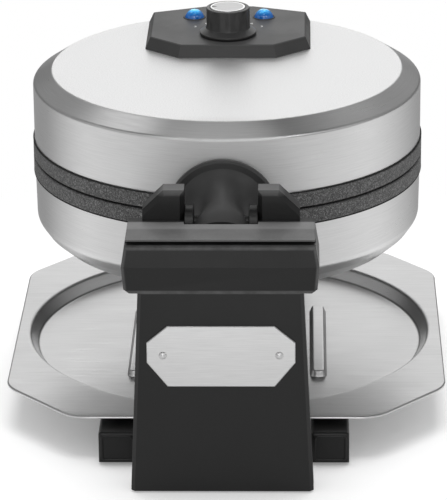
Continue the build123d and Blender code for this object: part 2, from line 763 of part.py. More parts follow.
def thermostat():
    """Round thermostat hung from the lid's underside by its mounting plate, with two tabs."""
    high = ROOF_IN - THERMO_PLATE
    body = drum(THERMO_D / 2, THERMO_LOW, high, 0, KNOB_Y)
    body += drum(THERMO_PLATE_D / 2, high, ROOF_IN, 0, KNOB_Y)
    edge = KNOB_Y - THERMO_D / 2
    for side in (1, -1):
        x = side * TAB_X
        body += block(x - TAB_W / 2, x + TAB_W / 2, edge - TAB_OUT, edge + 2, high - TAB_H, high - 1)
    body -= drum(SPINDLE_D / 2 + RUN_FIT, THERMO_LOW + THERMO_FLOOR, ROOF_IN + 1, 0, KNOB_Y)
    return upper(body)


def spindle():
    """Thermostat spindle, with a flat for the knob."""
    low = THERMO_LOW + THERMO_FLOOR + LOOSE
    high = PANEL_TOP + KNOB_H - SPINDLE_IN
    flat = block(-SPINDLE_D, SPINDLE_D, KNOB_Y + SPINDLE_D / 2 - SPINDLE_FLAT, KNOB_Y + SPINDLE_D, PANEL_TOP, high)
    return upper(drum(SPINDLE_D / 2, low, high, 0, KNOB_Y) - flat)


def knob():
    """Control knob with a wide skirt and a recess for its cap."""
    low = PANEL_TOP + LOOSE
    top = PANEL_TOP + KNOB_H
    body = turned([
        (0, low),
        (KNOB_SKIRT_D / 2, low),
        (KNOB_SKIRT_D / 2, low + KNOB_SKIRT_EDGE_H),
        (KNOB_D / 2, low + KNOB_SKIRT_H),
        (0, low + KNOB_SKIRT_H),
    ])
    body += drum(KNOB_D / 2, low + KNOB_SKIRT_H - 0.5, top)
    body = fillet(ring_edges(body, KNOB_D / 2, top), KNOB_ROUND)
    body -= drum(KNOB_CAP_D / 2 + SEAT, top + KNOB_CAP_OUT - KNOB_CAP_T, top + 1)
    bore = drum(SPINDLE_D / 2 + SEAT, low - 1, top - SPINDLE_IN + SEAT)
    flat = block(-SPINDLE_D, SPINDLE_D, SPINDLE_D / 2 - SPINDLE_FLAT + SEAT, SPINDLE_D, low - 1, top - SPINDLE_IN)
    body -= bore - flat
    return upper(Pos(0, KNOB_Y, 0) * body)


def knob_cap():
    """Metal disc set in the knob's top."""
    top = PANEL_TOP + KNOB_H
    face = top + KNOB_CAP_OUT
    disc = drum(KNOB_CAP_D / 2, face - KNOB_CAP_T, face, 0, KNOB_Y)
    return upper(chamfer(ring_edges(disc, KNOB_CAP_D / 2, face), KNOB_CAP_OUT * 0.8))


def lid_shell():
    """Pressed steel lid: straight wall, sloping edge, flat top."""
    edge = SHELL_H - RIM_DROP
    slope = math.atan2(RIM_DROP, SHELL_R - RIM_R)
    inset = SHELL_WALL * math.tan(slope / 2)
    outline = [
        (SHELL_IN, BAND_END),
        (SHELL_R, BAND_END),
        (SHELL_R, edge),
        (RIM_R, SHELL_H),
        (0, SHELL_H),
        (0, ROOF_IN),
        (RIM_R - inset, ROOF_IN),
        (SHELL_IN, edge - SHELL_WALL * math.tan((math.pi / 2 - slope) / 2)),
    ]
    shell = turned(outline)
    shell = fillet(ring_edges(shell, SHELL_R, edge), SHELL_ROUND)
    shell = fillet(ring_edges(shell, RIM_R, SHELL_H), RIM_ROUND)
    for x, y in PANEL_SCREWS:
        shell -= drum(SCREW_D / 2 + SEAT, ROOF_IN - 1, SHELL_H + 1, x, y)
    shell -= drum(SPINDLE_D / 2 + LOOSE, ROOF_IN - 1, SHELL_H + 1, 0, KNOB_Y)
    shell -= drum(WIRE_HOLE_R, ROOF_IN - 1, SHELL_H + 1, 0, LENS_Y)
    for x, z in NECK_SCREWS:
        shell -= rod_y(SCREW_D / 2 + SEAT, -SHELL_R - 2, -SHELL_R / 2, x, z)
    for x, z in LEAF_SCREWS:
        shell -= rod_y(SCREW_D / 2 + SEAT, SHELL_R / 2, SHELL_R + 2, x, z)
    return upper(shell)


def panel_screws():
    """Screws up through the lid's flat into the panel's bosses."""
    return [upper(screw_up(x, y, ROOF_IN, PANEL_CEILING - 1.2)) for x, y in PANEL_SCREWS]


# Lower shell and what it carries

def lower_shell():
    """Pressed steel bowl under the cooking head, drawn in at its foot."""
    foot = -SHELL_H
    shoulder = foot + LOWER_SHOULDER_DROP
    corner = foot + LOWER_CORNER_DROP
    outline = [
        (SHELL_R, -BAND_END),
        (SHELL_IN, -BAND_END),
        (SHELL_IN - LOWER_DRAFT, corner),
        (LOWER_SHOULDER_R - SHELL_WALL, shoulder + SHELL_WALL * 0.5),
        (LOWER_RIM_R - SHELL_WALL * 0.4, foot + SHELL_WALL),
        (0, foot + SHELL_WALL),
        (0, foot),
        (LOWER_RIM_R, foot),
        (LOWER_SHOULDER_R, shoulder),
        (SHELL_R - LOWER_DRAFT, corner),
    ]
    shell = turned(outline)
    shell = fillet(ring_edges(shell, SHELL_R - LOWER_DRAFT, corner), LOWER_ROUND)
    shell = fillet(ring_edges(shell, LOWER_RIM_R, foot), RIM_ROUND)
    for x, y in POSTS:
        shell -= drum(SCREW_D / 2 + SEAT, foot - 1, foot + SHELL_WALL + 1, x, y)
    for x, z in BRACKET_SCREWS:
        shell -= rod_y(SCREW_D / 2 + SEAT, SHELL_R / 2, SHELL_R + 2, x, z)
    return Pos(0, 0, AXIS_Z) * shell


def lower_posts():
    """Threaded spacers, open at the end that takes the shell's screws."""
    found = []
    depth = ROOF_IN - SHELL_SCREW_L - SCREW_ROOM + SHELL_WALL
    for post, (x, y) in zip(posts(), POSTS):
        found.append(lower(post - drum(SCREW_D / 2 + SEAT, depth, ROOF_IN + 1, x, y)))
    return found


def lower_shell_screws():
    """Screws up through the lower shell's flat into the posts."""
    return [Pos(0, 0, AXIS_Z) * screw_up(x, y, -SHELL_H, -SHELL_H + SHELL_SCREW_L) for x, y in POSTS]


def cutout():
    """Thermal cut-out on the back of the lower reflector, with two tabs."""
    top = REFLECTOR_BACK + CUTOUT_H
    body = drum(CUTOUT_D / 2, REFLECTOR_BACK, top, CUTOUT_X, CUTOUT_Y)
    for side in (1, -1):
        x = CUTOUT_X + side * CUTOUT_TAB_X
        y = CUTOUT_Y
        body += block(x - 0.4, x + 0.4, y - TAB_W / 2, y + TAB_W / 2, top - 1, top + CUTOUT_TAB_H)
    return lower(body)


# Lid hinge and flip shaft

def head_core(bottom, top):
    """The head's outside at a band or shell, as solid drums to cut seats with."""
    core = drum(SHELL_R, bottom, top)
    return core + drum(BAND_R, max(bottom, -BAND_END), min(top, BAND_END))


def hinge_leaf():
    """Lid's half of the hinge, seated on the band and the shell."""
    half = LEAF_W / 2
    leaf = block(-half, half, SHELL_R - 8, LEAF_FACE, LEAF_LOW, LEAF_HIGH)
    leaf = chamfer(leaf.edges().filter_by(Axis.Y).group_by(Axis.Z)[-1], LEAF_CORNER)
    arm = side_of([
        (LEAF_FACE - 1, HINGE_UP - KNUCKLE_R),
        (HINGE_Y, HINGE_UP - KNUCKLE_R),
        (HINGE_Y, HINGE_UP + KNUCKLE_R),
        (LEAF_FACE - 1, HINGE_UP + KNUCKLE_R),
    ], -half, half)
    leaf += arm + rod_x(KNUCKLE_R, -half, half, HINGE_Y, HINGE_UP)
    leaf -= head_core(0, SHELL_H)
    leaf -= rod_x(HINGE_PIN_D / 2 + RUN_FIT, -half - 1, half + 1, HINGE_Y, HINGE_UP)
    for x, z in LEAF_SCREWS:
        leaf -= rod_y(SCREW_D / 2 + SEAT, SHELL_R / 2, LEAF_FACE - SCREW_ROOM, x, z)
    return upper(leaf)


def leaf_screws():
    """Screws from inside the lid into the hinge leaf."""
    inside = math.sqrt(SHELL_IN**2 - (LEAF_SCREW_X + HEAD_D / 2) ** 2)
    tip = LEAF_FACE - SCREW_ROOM - LOOSE
    return [upper(screw_y(x, z, inside - 2 * SEAT, tip)) for x, z in LEAF_SCREWS]


def pivot_bracket():
    """Cast bracket on the lower shell: hinge lugs above, hub of the flip shaft in the middle."""
    half = BRACKET_W / 2
    seat = block(-half, half, SHELL_R - 8, BRACKET_FRONT + 0.5, BRACKET_LOW, -LEAF_LOW)
    web = block(-half, half, BRACKET_FRONT, BRACKET_BACK, BRACKET_LOW, BRACKET_TOP)
    body = seat - head_core(-SHELL_H, 0) + web
    lug_in = LEAF_W / 2 + LOOSE * 2
    for low, high in ((-half, -lug_in), (lug_in, half)):
        body += block(low, high, HINGE_Y - KNUCKLE_R + 1.5, BRACKET_BACK, BRACKET_TOP - 1, HINGE_UP)
        body += rod_x(KNUCKLE_R, low, high, HINGE_Y, HINGE_UP)
    body = chamfer(body.edges().filter_by(Axis.Y).group_by(Axis.Z)[0], BRACKET_CORNER)
    body += rod_y(SHAFT_R + HUB_WALL, BRACKET_BACK - 1, BRACKET_BACK + HUB_L)
    body -= rod_y(SHAFT_R, SHAFT_FRONT, BRACKET_BACK + HUB_L + 1)
    body -= rod_y(SHAFT_R - SHAFT_WALL, SHELL_R - 9, SHAFT_FRONT + 1)
    body -= rod_x(HINGE_PIN_D / 2, -half - 1, half + 1, HINGE_Y, HINGE_UP)
    for x, z in BRACKET_SCREWS:
        body -= rod_y(SCREW_D / 2 + SEAT, SHELL_R / 2, BRACKET_BACK - BRACKET_T / 2 + SCREW_ROOM, x, z)
    return Pos(0, 0, AXIS_Z) * body


def bracket_screws():
    """Screws from inside the lower shell into the bracket."""
    inside = math.sqrt(SHELL_IN**2 - (BRACKET_SCREW_X + HEAD_D / 2) ** 2)
    tip = BRACKET_BACK - BRACKET_T / 2
    return [Pos(0, 0, AXIS_Z) * screw_y(x, z, inside - LOOSE, tip) for x, z in BRACKET_SCREWS]


def hinge_pin():
    """Lid hinge pin, held in the bracket's lugs."""
    half = BRACKET_W / 2
    return upper(rod_x(HINGE_PIN_D / 2, -half, half, HINGE_Y, HINGE_UP))


def flip_shaft():
    """Hollow shaft of the head, grooved at its end for the clip."""
    shaft = rod_y(SHAFT_R, SHAFT_FRONT, SHAFT_BACK)
    shaft -= rod_y(SHAFT_R - SHAFT_WALL, SHAFT_FRONT - 1, SHAFT_BACK + 1)
    groove = rod_y(SHAFT_D, CLIP_PLACE, CLIP_PLACE + CLIP_T)
    groove -= rod_y(SHAFT_R - CLIP_DEEP, CLIP_PLACE, CLIP_PLACE + CLIP_T)
    return upper(shaft - groove)


def stop_collar():
    """Ring on the shaft whose cut-away lets the stop pin pass through half a turn."""
    front = COLLAR_BACK - STOP_COLLAR_T
    ring = rod_y(STOP_COLLAR_R, front, COLLAR_BACK) - rod_y(SHAFT_R, front - 1, COLLAR_BACK + 1)
    pin_half = math.degrees(math.asin((STOP_PIN_D / 2 + 2 * SEAT) / STOP_PIN_R))
    first = -90 - FLIP_RANGE - pin_half
    swept = FLIP_RANGE + 2 * pin_half
    steps = 12
    reach = 2 * STOP_COLLAR_R
    turns = [math.radians(first + swept * i / steps) for i in range(steps + 1)]
    fan = [(0, 0)] + [(reach * math.cos(a), reach * math.sin(a)) for a in turns]
    inner = STOP_PIN_R - STOP_PIN_D / 2 - 4 * SEAT
    cut = wall_of(fan, front - 1, COLLAR_BACK + 1) - rod_y(inner, front - 1, COLLAR_BACK + 1)
    return upper(ring - cut)


def washer():
    """Thrust washer behind the rear bush."""
    front = BLOCK_BACK + BUSH_FLANGE_T + LOOSE / 2
    ring = rod_y(BUSH_FLANGE_R, front, front + WASHER_T)
    return upper(ring - rod_y(SHAFT_R + SEAT, front - 1, front + WASHER_T + 1))


def clip():
    """Retaining clip in the shaft's groove, open at one side."""
    front, back = CLIP_PLACE - 1, CLIP_PLACE + CLIP_T + 1
    ring = rod_y(CLIP_R, CLIP_PLACE, CLIP_PLACE + CLIP_T)
    ring -= rod_y(SHAFT_R - CLIP_DEEP, front, back)
    ring -= block(-CLIP_MOUTH / 2, CLIP_MOUTH / 2, front, back, -2 * CLIP_R, 0)
    return upper(ring)


# Stand

def bush(front):
    """Flanged bearing bush, its flange on the front or the back of the block."""
    if front:
        body = rod_y(BUSH_R, BLOCK_FRONT, BLOCK_FRONT + BUSH_L)
        body += rod_y(BUSH_FLANGE_R, BLOCK_FRONT - BUSH_FLANGE_T, BLOCK_FRONT)
    else:
        body = rod_y(BUSH_R, BLOCK_BACK - BUSH_L, BLOCK_BACK)
        body += rod_y(BUSH_FLANGE_R, BLOCK_BACK, BLOCK_BACK + BUSH_FLANGE_T)
    body -= rod_y(SHAFT_R + RUN_FIT, BLOCK_FRONT - 5, BLOCK_BACK + 5)
    if front:
        body -= rod_y(STOP_PIN_D / 2 + SEAT, BLOCK_FRONT - 5, BLOCK_BACK, 0, -STOP_PIN_R)
    return upper(body)


def bearing_column():
    """Cast column on the base deck, with the bearing block at its head."""
    half = COLUMN_W / 2
    foot_top = RAIL_TOP + COLUMN_FOOT_T
    foot_half = COLUMN_FOOT_W / 2
    foot = block(-foot_half, foot_half, BLOCK_FRONT, BLOCK_BACK, RAIL_TOP, foot_top)
    shank = block(-half, half, BLOCK_FRONT, BLOCK_BACK, RAIL_TOP, AXIS_Z)
    hollow = block(
        -half + COLUMN_WALL, half - COLUMN_WALL,
        BLOCK_FRONT + COLUMN_WALL, BLOCK_BACK + 1,
        foot_top, AXIS_Z - half - COLUMN_WALL / 4,
    )
    crown = upper(rod_y(half, BLOCK_FRONT, BLOCK_BACK))
    crown &= block(-half, half, BLOCK_FRONT, BLOCK_BACK, AXIS_Z - half, AXIS_Z + BLOCK_TOP)
    body = foot + (shank - hollow) + crown
    body -= upper(rod_y(BUSH_R, BLOCK_FRONT - 1, BLOCK_FRONT + BUSH_L))
    body -= upper(rod_y(BUSH_R, BLOCK_BACK - BUSH_L, BLOCK_BACK + 1))
    body -= upper(rod_y(SHAFT_R + LOOSE, BLOCK_FRONT - 1, BLOCK_BACK + 1))
    body -= upper(rod_y(STOP_PIN_D / 2, BLOCK_FRONT - 1, BLOCK_FRONT + STOP_PIN_IN, 0, -STOP_PIN_R))
    for x, y in COLUMN_SCREWS:
        body -= drum(SCREW_D / 2 + SEAT, RAIL_TOP - 1, foot_top + 1, x, y)
    return body


def stop_pin():
    """Pin in the bearing block that ends the flip at half a turn."""
    front = COLLAR_BACK - STOP_COLLAR_T / 2
    return upper(rod_y(STOP_PIN_D / 2, front, BLOCK_FRONT + STOP_PIN_IN, 0, -STOP_PIN_R))


def column_screws():
    """Screws down through the column's foot into the base deck."""
    seat = RAIL_TOP + COLUMN_FOOT_T
    found = []
    for x, y in COLUMN_SCREWS:
        screw = drum(SCREW_D / 2, RAIL_TOP - COLUMN_SCREW_IN, seat + 0.5, x, y)
        found.append(screw + drum(HEAD_D / 2, seat, seat + HEAD_H, x, y))
    return found


def stand_outline(inset, low, front, back):
    """Tower block with rounded upright and top edges, pulled in by inset."""
    half = STAND_W / 2 - inset
    top = AXIS_Z + STAND_TOP - inset
    body = block(-half, half, front + inset, back, low, top)
    edges = [e for e in body.edges() if e.center().Y < back - 0.5 and e.center().Z > low + 0.5]
    return fillet(edges, STAND_ROUND - inset)


def stand_shell():
    """Hollow tower over the bearing column, open at its back and its foot."""
    outer = stand_outline(0, RAIL_TOP, STAND_FRONT, STAND_BACK)
    inner = stand_outline(STAND_WALL, RAIL_TOP - 5, STAND_FRONT, STAND_BACK + 5)
    shell = outer - inner
    for x, z in COVER_SCREWS:
        side = math.copysign(1, x)
        inside, outside = sorted((x - side * STAND_BOSS, side * (STAND_W / 2 - 1)))
        boss = block(inside, outside, STAND_BACK - STAND_BOSS_L, STAND_BACK, z - STAND_BOSS, z + STAND_BOSS)
        shell += boss
        shell -= rod_y(SCREW_D / 2 + SEAT, STAND_BACK - COVER_SCREW_IN - SCREW_ROOM, STAND_BACK + 1, x, z)
    shell -= upper(rod_y(SHAFT_R + STAND_HOLE, STAND_FRONT - 1, STAND_FRONT + STAND_WALL + 1))
    return shell


def stand_cover():
    """Back cover of the tower, with the hole for the cord gland."""
    half = STAND_W / 2
    cover = block(-half, half, STAND_BACK, COVER_BACK, RAIL_TOP, AXIS_Z + STAND_TOP)
    cover = fillet(cover.edges().filter_by(Axis.Y).group_by(Axis.Z)[-1], STAND_ROUND)
    outer = [e for e in cover.edges() if e.center().Y > COVER_BACK - 0.1 and e.center().Z > RAIL_TOP + 1]
    cover = chamfer(outer, COVER_EDGE)
    cover -= rod_y(GLAND_STEM_R + SEAT, STAND_BACK - 1, COVER_BACK + 1, 0, GLAND_Z)
    for x, z in COVER_SCREWS:
        cover -= rod_y(SCREW_D / 2 + SEAT, STAND_BACK - 1, COVER_BACK + 1, x, z)
        cover -= rod_y(HEAD_D / 2 + SEAT, COVER_BACK - SUNK_HEAD_H, COVER_BACK + 1, x, z)
    return cover


def cover_screws():
    """Screws through the back cover into the tower's bosses, sunk flush."""
    found = []
    for x, z in COVER_SCREWS:
        screw = rod_y(SCREW_D / 2, STAND_BACK - COVER_SCREW_IN, COVER_BACK - SUNK_HEAD_H / 2, x, z)
        found.append(screw + rod_y(HEAD_D / 2, COVER_BACK - SUNK_HEAD_H, COVER_BACK, x, z))
    return found


def cord_gland():
    """Strain-relief gland in the back cover, its outer end flush with the cover."""
    front = STAND_BACK - GLAND_L
    body = rod_y(GLAND_STEM_R, front, COVER_BACK, 0, GLAND_Z)
    body += rod_y(GLAND_D / 2, front, STAND_BACK, 0, GLAND_Z)
    return body - rod_y(GLAND_BORE / 2, front - 1, COVER_BACK + 1, 0, GLAND_Z)


# Base frame, feet and drip tray

def rail(side):
    """One rail, with its raised front end, a web under it and the bead that the tray's rib sits over."""
    low, high = sorted((side * RAIL_IN, side * RAIL_OUT))
    body = block(low, high, -RAIL_FRONT, COVER_BACK, RAIL_LOW, RAIL_TOP)
    body += block(low, high, -RAIL_FRONT, -RAIL_FRONT + RAIL_END_L, RAIL_LOW, RAIL_END_TOP)
    front = [e for e in body.edges() if e.center().Y < -RAIL_FRONT + 0.1]
    front += [e for e in body.edges().filter_by(Axis.Y) if e.center().Z > RAIL_END_TOP - 0.1]
    body = fillet(front, RAIL_ROUND)
    mid = (low + high) / 2
    for x0, x1 in ((low + RAIL_WALL, mid - RAIL_WEB / 2), (mid + RAIL_WEB / 2, high - RAIL_WALL)):
        body -= block(
            x0, x1,
            -RAIL_FRONT + 2 * FOOT_INSET, STAND_FRONT - RAIL_WALL,
            RAIL_LOW - 1, RAIL_TOP - RAIL_WALL,
        )
    bead_x = side * (RIB_IN + RIB_OUT) / 2
    bead = block(
        bead_x - BEAD_W / 2, bead_x + BEAD_W / 2,
        -RIB_NEAR + BEAD_SHORT, RIB_FAR - BEAD_SHORT,
        RAIL_TOP - 1, RAIL_TOP + BEAD_H,
    )
    return body + chamfer(bead.edges().group_by(Axis.Z)[-1], BEAD_EDGE)


def base_frame():
    """Two rails joined by the deck that carries the stand."""
    half = RAIL_IN - RAIL_WALL
    front, back = STAND_FRONT + RAIL_WALL, COVER_BACK - RAIL_WALL
    deck = block(-RAIL_IN - 1, RAIL_IN + 1, STAND_FRONT, COVER_BACK, RAIL_LOW, RAIL_TOP)
    deck -= block(-half, half, front, back, RAIL_LOW - 1, RAIL_TOP - RAIL_WALL)
    body = rail(1) + rail(-1) + deck
    for x, y in COLUMN_SCREWS:
        body += drum(DECK_POST_R, RAIL_LOW + BASE_PLATE_T, RAIL_TOP - 1, x, y)
        body -= drum(SCREW_D / 2 + SEAT, RAIL_TOP - COLUMN_SCREW_IN - SCREW_ROOM, RAIL_TOP + 1, x, y)
    for x, y in FEET:
        body -= drum(FOOT_STEM_R + SEAT, RAIL_LOW - 1, RAIL_LOW + FOOT_SINK, x, y)
    body -= block(-half, half, front, back, RAIL_LOW - 1, RAIL_LOW + BASE_PLATE_T)
    return body


def base_plate():
    """Steel sheet that closes the deck from below."""
    half = RAIL_IN - RAIL_WALL - SEAT
    front = STAND_FRONT + RAIL_WALL + SEAT
    back = COVER_BACK - RAIL_WALL - SEAT
    return block(-half, half, front, back, RAIL_LOW, RAIL_LOW + BASE_PLATE_T)


def feet():
    """Rubber feet under the rails' ends."""
    found = []
    for x, y in FEET:
        pad = drum(FOOT_D / 2, 0, RAIL_LOW, x, y)
        found.append(pad + drum(FOOT_STEM_R, RAIL_LOW - 0.5, RAIL_LOW + FOOT_SINK, x, y))
    return found


def tray_face(inset):
    """Outline of the tray with cut and rounded corners, pulled in by inset."""
    half = TRAY_W / 2 - inset
    near = -TRAY_NEAR + inset
    far = TRAY_FAR - inset
    points = [
        (-half, near + TRAY_CUT_NEAR),
        (-half + TRAY_CUT_X, near),
        (half - TRAY_CUT_X, near),
        (half, near + TRAY_CUT_NEAR),
        (half, far - TRAY_CUT_FAR),
        (half - TRAY_CUT_X_FAR, far),
        (-half + TRAY_CUT_X_FAR, far),
        (-half, far - TRAY_CUT_FAR),
    ]
    face = make_face(Polyline(*points, close=True))
    return fillet(face.vertices(), TRAY_CORNER - inset)


def drip_tray():
    """Pressed tray: flat rim with a turned-down edge, round well, two ribs over the rails' beads."""
    low = TRAY_TOP - TRAY_SKIRT
    rim = extrude(Pos(0, 0, low) * tray_face(0), TRAY_SKIRT)
    rim = fillet(rim.faces().sort_by(Axis.Z)[-1].edges(), TRAY_EDGE)
    rim -= extrude(Pos(0, 0, low) * tray_face(TRAY_SHEET), TRAY_SKIRT - TRAY_SHEET)
    rim -= drum(WELL_R, low - 1, TRAY_TOP + 1)
    well = turned([
        (WELL_R + 0.5, TRAY_TOP),
        (WELL_R - 0.5, TRAY_TOP),
        (WELL_FLOOR_R, TRAY_FLOOR),
        (0, TRAY_FLOOR),
        (0, TRAY_FLOOR - TRAY_SHEET),
        (WELL_FLOOR_R + 0.6, TRAY_FLOOR - TRAY_SHEET),
        (WELL_R + 0.5, TRAY_TOP - 1.4),
    ])
    body = rim + well
    for side in (1, -1):
        x0, x1 = sorted((side * RIB_IN, side * RIB_OUT))
        body -= block(x0 + 0.5, x1 - 0.5, -RIB_NEAR + 0.5, RIB_FAR - 0.5, TRAY_FLOOR - 2, TRAY_FLOOR + 1)
        rib = block(x0, x1, -RIB_NEAR, RIB_FAR, TRAY_FLOOR - TRAY_SHEET, TRAY_FLOOR + RIB_H)
        rib = fillet([e for e in rib.edges() if e.center().Z > TRAY_FLOOR + 0.5], RIB_ROUND)
        inner = block(
            x0 + TRAY_SHEET, x1 - TRAY_SHEET,
            -RIB_NEAR + TRAY_SHEET, RIB_FAR - TRAY_SHEET,
            TRAY_FLOOR - 2, TRAY_FLOOR + RIB_H - TRAY_SHEET,
        )
        inner = fillet([e for e in inner.edges() if e.center().Z > TRAY_FLOOR], RIB_ROUND - TRAY_SHEET)
        body += rib - inner
    return body


# Handle neck and folding handle

def neck_section(y, half_width, top, bottom):
    """Oval section of the neck across Y, between two heights above the seam."""
    plane = Plane(origin=(0, -y, (top + bottom) / 2), x_dir=(1, 0, 0), z_dir=(0, -1, 0))
    return plane * Ellipse(half_width, (top - bottom) / 2)


def handle_neck():
    """Round flange on the lid's wall that narrows to a waist and ends in the handle's pivot."""
    disc = rod_y(NECK_FLANGE_R, -FLANGE_FACE, -FLANGE_BACK, 0, NECK_FLANGE_UP)
    disc = chamfer(disc.faces().sort_by(Axis.Y)[0].edges(), NECK_FLANGE_EDGE)
    saddle = rod_y(NECK_FLANGE_R - 1, -FLANGE_BACK - 0.5, -SHELL_R + 9, 0, NECK_FLANGE_UP)
    saddle &= block(-NECK_FLANGE_R, NECK_FLANGE_R, -FLANGE_FACE, 0, LEAF_LOW, NECK_FLANGE_R)
    saddle -= head_core(0, SHELL_H)
    sections = [neck_section(FLANGE_FACE + place, *sizes) for place, *sizes in NECK_PROFILE]
    horn = loft(sections + [neck_section(NECK_END, *NECK_TIP)])
    neck = disc + saddle + horn
    for low, high in ((-EAR_IN, -NECK_BOSS), (NECK_BOSS, EAR_IN)):
        neck -= rod_x(SPACER_R + LOOSE, low, high, -PIVOT_Y, PIVOT_UP)
    neck -= rod_x(PIN_D / 2 + RUN_FIT, -EAR_OUT, EAR_OUT, -PIVOT_Y, PIVOT_UP)
    for x, z in NECK_SCREWS:
        neck -= rod_y(SCREW_D / 2 + SEAT, -FLANGE_FACE - NECK_SCREW_IN - LOOSE, -SHELL_R / 2, x, z)
    return upper(neck)


def neck_screws():
    """Screws from inside the lid into the neck's flange."""
    inside = math.sqrt(SHELL_IN**2 - (NECK_SCREW_X + HEAD_D / 2) ** 2)
    return [upper(screw_y(x, z, -inside + LOOSE, -FLANGE_FACE - NECK_SCREW_IN)) for x, z in NECK_SCREWS]


def bar_shape():
    """Cross bar at the handle's head: its front outline met with its side outline."""
    right = [
        (BAR_TOP_W / 2, BAR_TOP),
        (BAR_CREASE_W / 2, BAR_CREASE),
        (BAR_BOTTOM_W / 2 + BAR_FLARE, BAR_BOTTOM + BAR_CORNER),
        (BAR_BOTTOM_W / 2 - BAR_CORNER, BAR_BOTTOM),
    ]
    front_view = right + [(-x, z) for x, z in reversed(right)]
    side_view = [
        (-BAR_BACK, BAR_TOP),
        (-PIVOT_Y - BAR_LEVEL, BAR_TOP),
        (-HANDLE_FRONT + BAR_LEAN, BAR_TOP - BAR_DROP),
        (-HANDLE_FRONT, BAR_CREASE),
        (-PADDLE_FRONT, BAR_BOTTOM),
        (-PADDLE_BACK + 2, BAR_BOTTOM),
        (-BAR_BACK, BAR_CREASE),
    ]
    across = BAR_CREASE_W / 2 + BAR_CORNER
    return wall_of(front_view, -HANDLE_FRONT - 1, -BAR_BACK + 1) & side_of(side_view, -across, across)


def paddle_outline(inset, top, foot):
    """Front outline of the grip between two heights above the seam, pulled in by inset."""
    high = PADDLE_TOP_W / 2 - inset
    low = PADDLE_FOOT_W / 2 - inset
    return [(-high, top), (high, top), (low, foot), (-low, foot)]


def paddle_shape():
    """Long grip below the bar, a little wider at its free end."""
    outline = paddle_outline(0, BAR_BOTTOM + BAR_LAP, PADDLE_FOOT)
    grip = wall_of(outline, -PADDLE_FRONT, -PADDLE_BACK)
    middle = grip.center().Z
    upright = [e for e in grip.edges() if abs(e.center().Z - middle) < BAR_LAP and abs(e.center().X) > PADDLE_T]
    return chamfer(upright, PADDLE_BEVEL)


def ear(side):
    """One cheek of the fork, with its cut outer corner and cut front edges."""
    low = BAR_TOP - EAR_SINK
    outline = [
        (side * EAR_IN, low),
        (side * EAR_IN, EAR_TOP),
        (side * EAR_TOP_OUT, EAR_TOP),
        (side * EAR_OUT, EAR_TOP - EAR_CUT),
        (side * EAR_OUT, low),
    ]
    cheek = wall_of(outline, -EAR_FRONT, -EAR_BACK)
    front = [e for e in cheek.edges() if e.center().Y < -EAR_FRONT + 0.1 and e.center().Z > BAR_TOP]
    return chamfer(front, EAR_EDGE)


def handle_room(front, back, top):
    """Hollow inside the grip and the bar between two places along Y."""
    grip = paddle_outline(COVER_WALL, BAR_BOTTOM + 2, PADDLE_FOOT + COVER_WALL)
    grip = [(x - math.copysign(PADDLE_BEVEL, x), z) if z < BAR_BOTTOM else (x, z) for x, z in grip]
    half = BAR_BOTTOM_W / 2 - 2 * COVER_WALL
    bar = block(-half, half, front, back, BAR_BOTTOM + 1, top)
    return wall_of(grip, front, back) + bar


def handle_cut(top):
    """Everything in front of the handle's parting face, up to a height above the seam."""
    half = BAR_CREASE_W
    return block(-half, half, -HANDLE_FRONT - 5, -PARTING, PADDLE_FOOT - 5, top)


def handle_back():
    """Rear half of the handle, with the fork, the bar's top and the hollow grip."""
    body = bar_shape() + paddle_shape() + ear(1) + ear(-1)
    body -= handle_cut(BAR_TOP - HANDLE_GROOVE)
    inner = -PADDLE_BACK - COVER_WALL
    body -= handle_room(-PARTING - 1, inner, BAR_TOP - HANDLE_GROOVE - COVER_WALL)
    for x, z in HANDLE_SCREWS:
        body += rod_y(HEAD_D / 2 + BOSS_WALL, inner - BOSS_L, -PADDLE_BACK, x, z)
        body -= rod_y(HEAD_D / 2 + SEAT, HANDLE_SEAT, -PADDLE_BACK + 1, x, z)
        body -= rod_y(SCREW_D / 2 + SEAT, -PARTING - 1, -PADDLE_BACK + 1, x, z)
    body -= rod_x(PIN_D / 2, -EAR_OUT + PIN_END, EAR_OUT - PIN_END, -PIVOT_Y, PIVOT_UP)
    body -= rod_x(SPACER_R + HUB_GAP, -EAR_IN, EAR_IN, -PIVOT_Y, PIVOT_UP)
    body -= block(-EAR_IN, EAR_IN, -NECK_END - NECK_ROOM, -EAR_BACK, NECK_ROOM_LOW, EAR_TOP + 1)
    return upper(body)


def handle_front():
    """Front cover of the handle, with screw bosses behind it."""
    top = BAR_TOP - 2 * HANDLE_GROOVE
    cover = (bar_shape() + paddle_shape()) & handle_cut(top)
    crest = [e for e in cover.edges() if e.center().Z > top - 0.1 and e.center().Y < -PADDLE_FRONT + 1]
    cover = chamfer(crest, COVER_CREST)
    inner = -PADDLE_FRONT + COVER_WALL
    cover -= handle_room(inner, -PARTING + 1, top - COVER_WALL)
    for x, z in HANDLE_SCREWS:
        cover += rod_y(COVER_BOSS_R, inner - 0.5, -PADDLE_BACK - COVER_WALL - BOSS_L, x, z)
        cover -= rod_y(SCREW_D / 2 + SEAT, inner + LOOSE, -PADDLE_BACK, x, z)
    for side in (1, -1):
        x, z = side * RIVET_X, RIVET_Z - AXIS_Z
        cover -= rod_y(RIVET_STEM_D / 2 + SEAT, -PADDLE_FRONT - 1, -PADDLE_FRONT + RIVET_IN + 0.2, x, z)
    return upper(cover)


def handle_screws():
    """Screws from the back of the handle into the cover's bosses."""
    found = []
    tip = -PADDLE_FRONT + COVER_WALL + 2 * LOOSE
    for x, z in HANDLE_SCREWS:
        screw = rod_y(SCREW_D / 2, tip, HANDLE_SEAT + 0.5, x, z)
        found.append(upper(screw + rod_y(HEAD_D / 2, HANDLE_SEAT, HANDLE_SEAT + HEAD_H, x, z)))
    return found


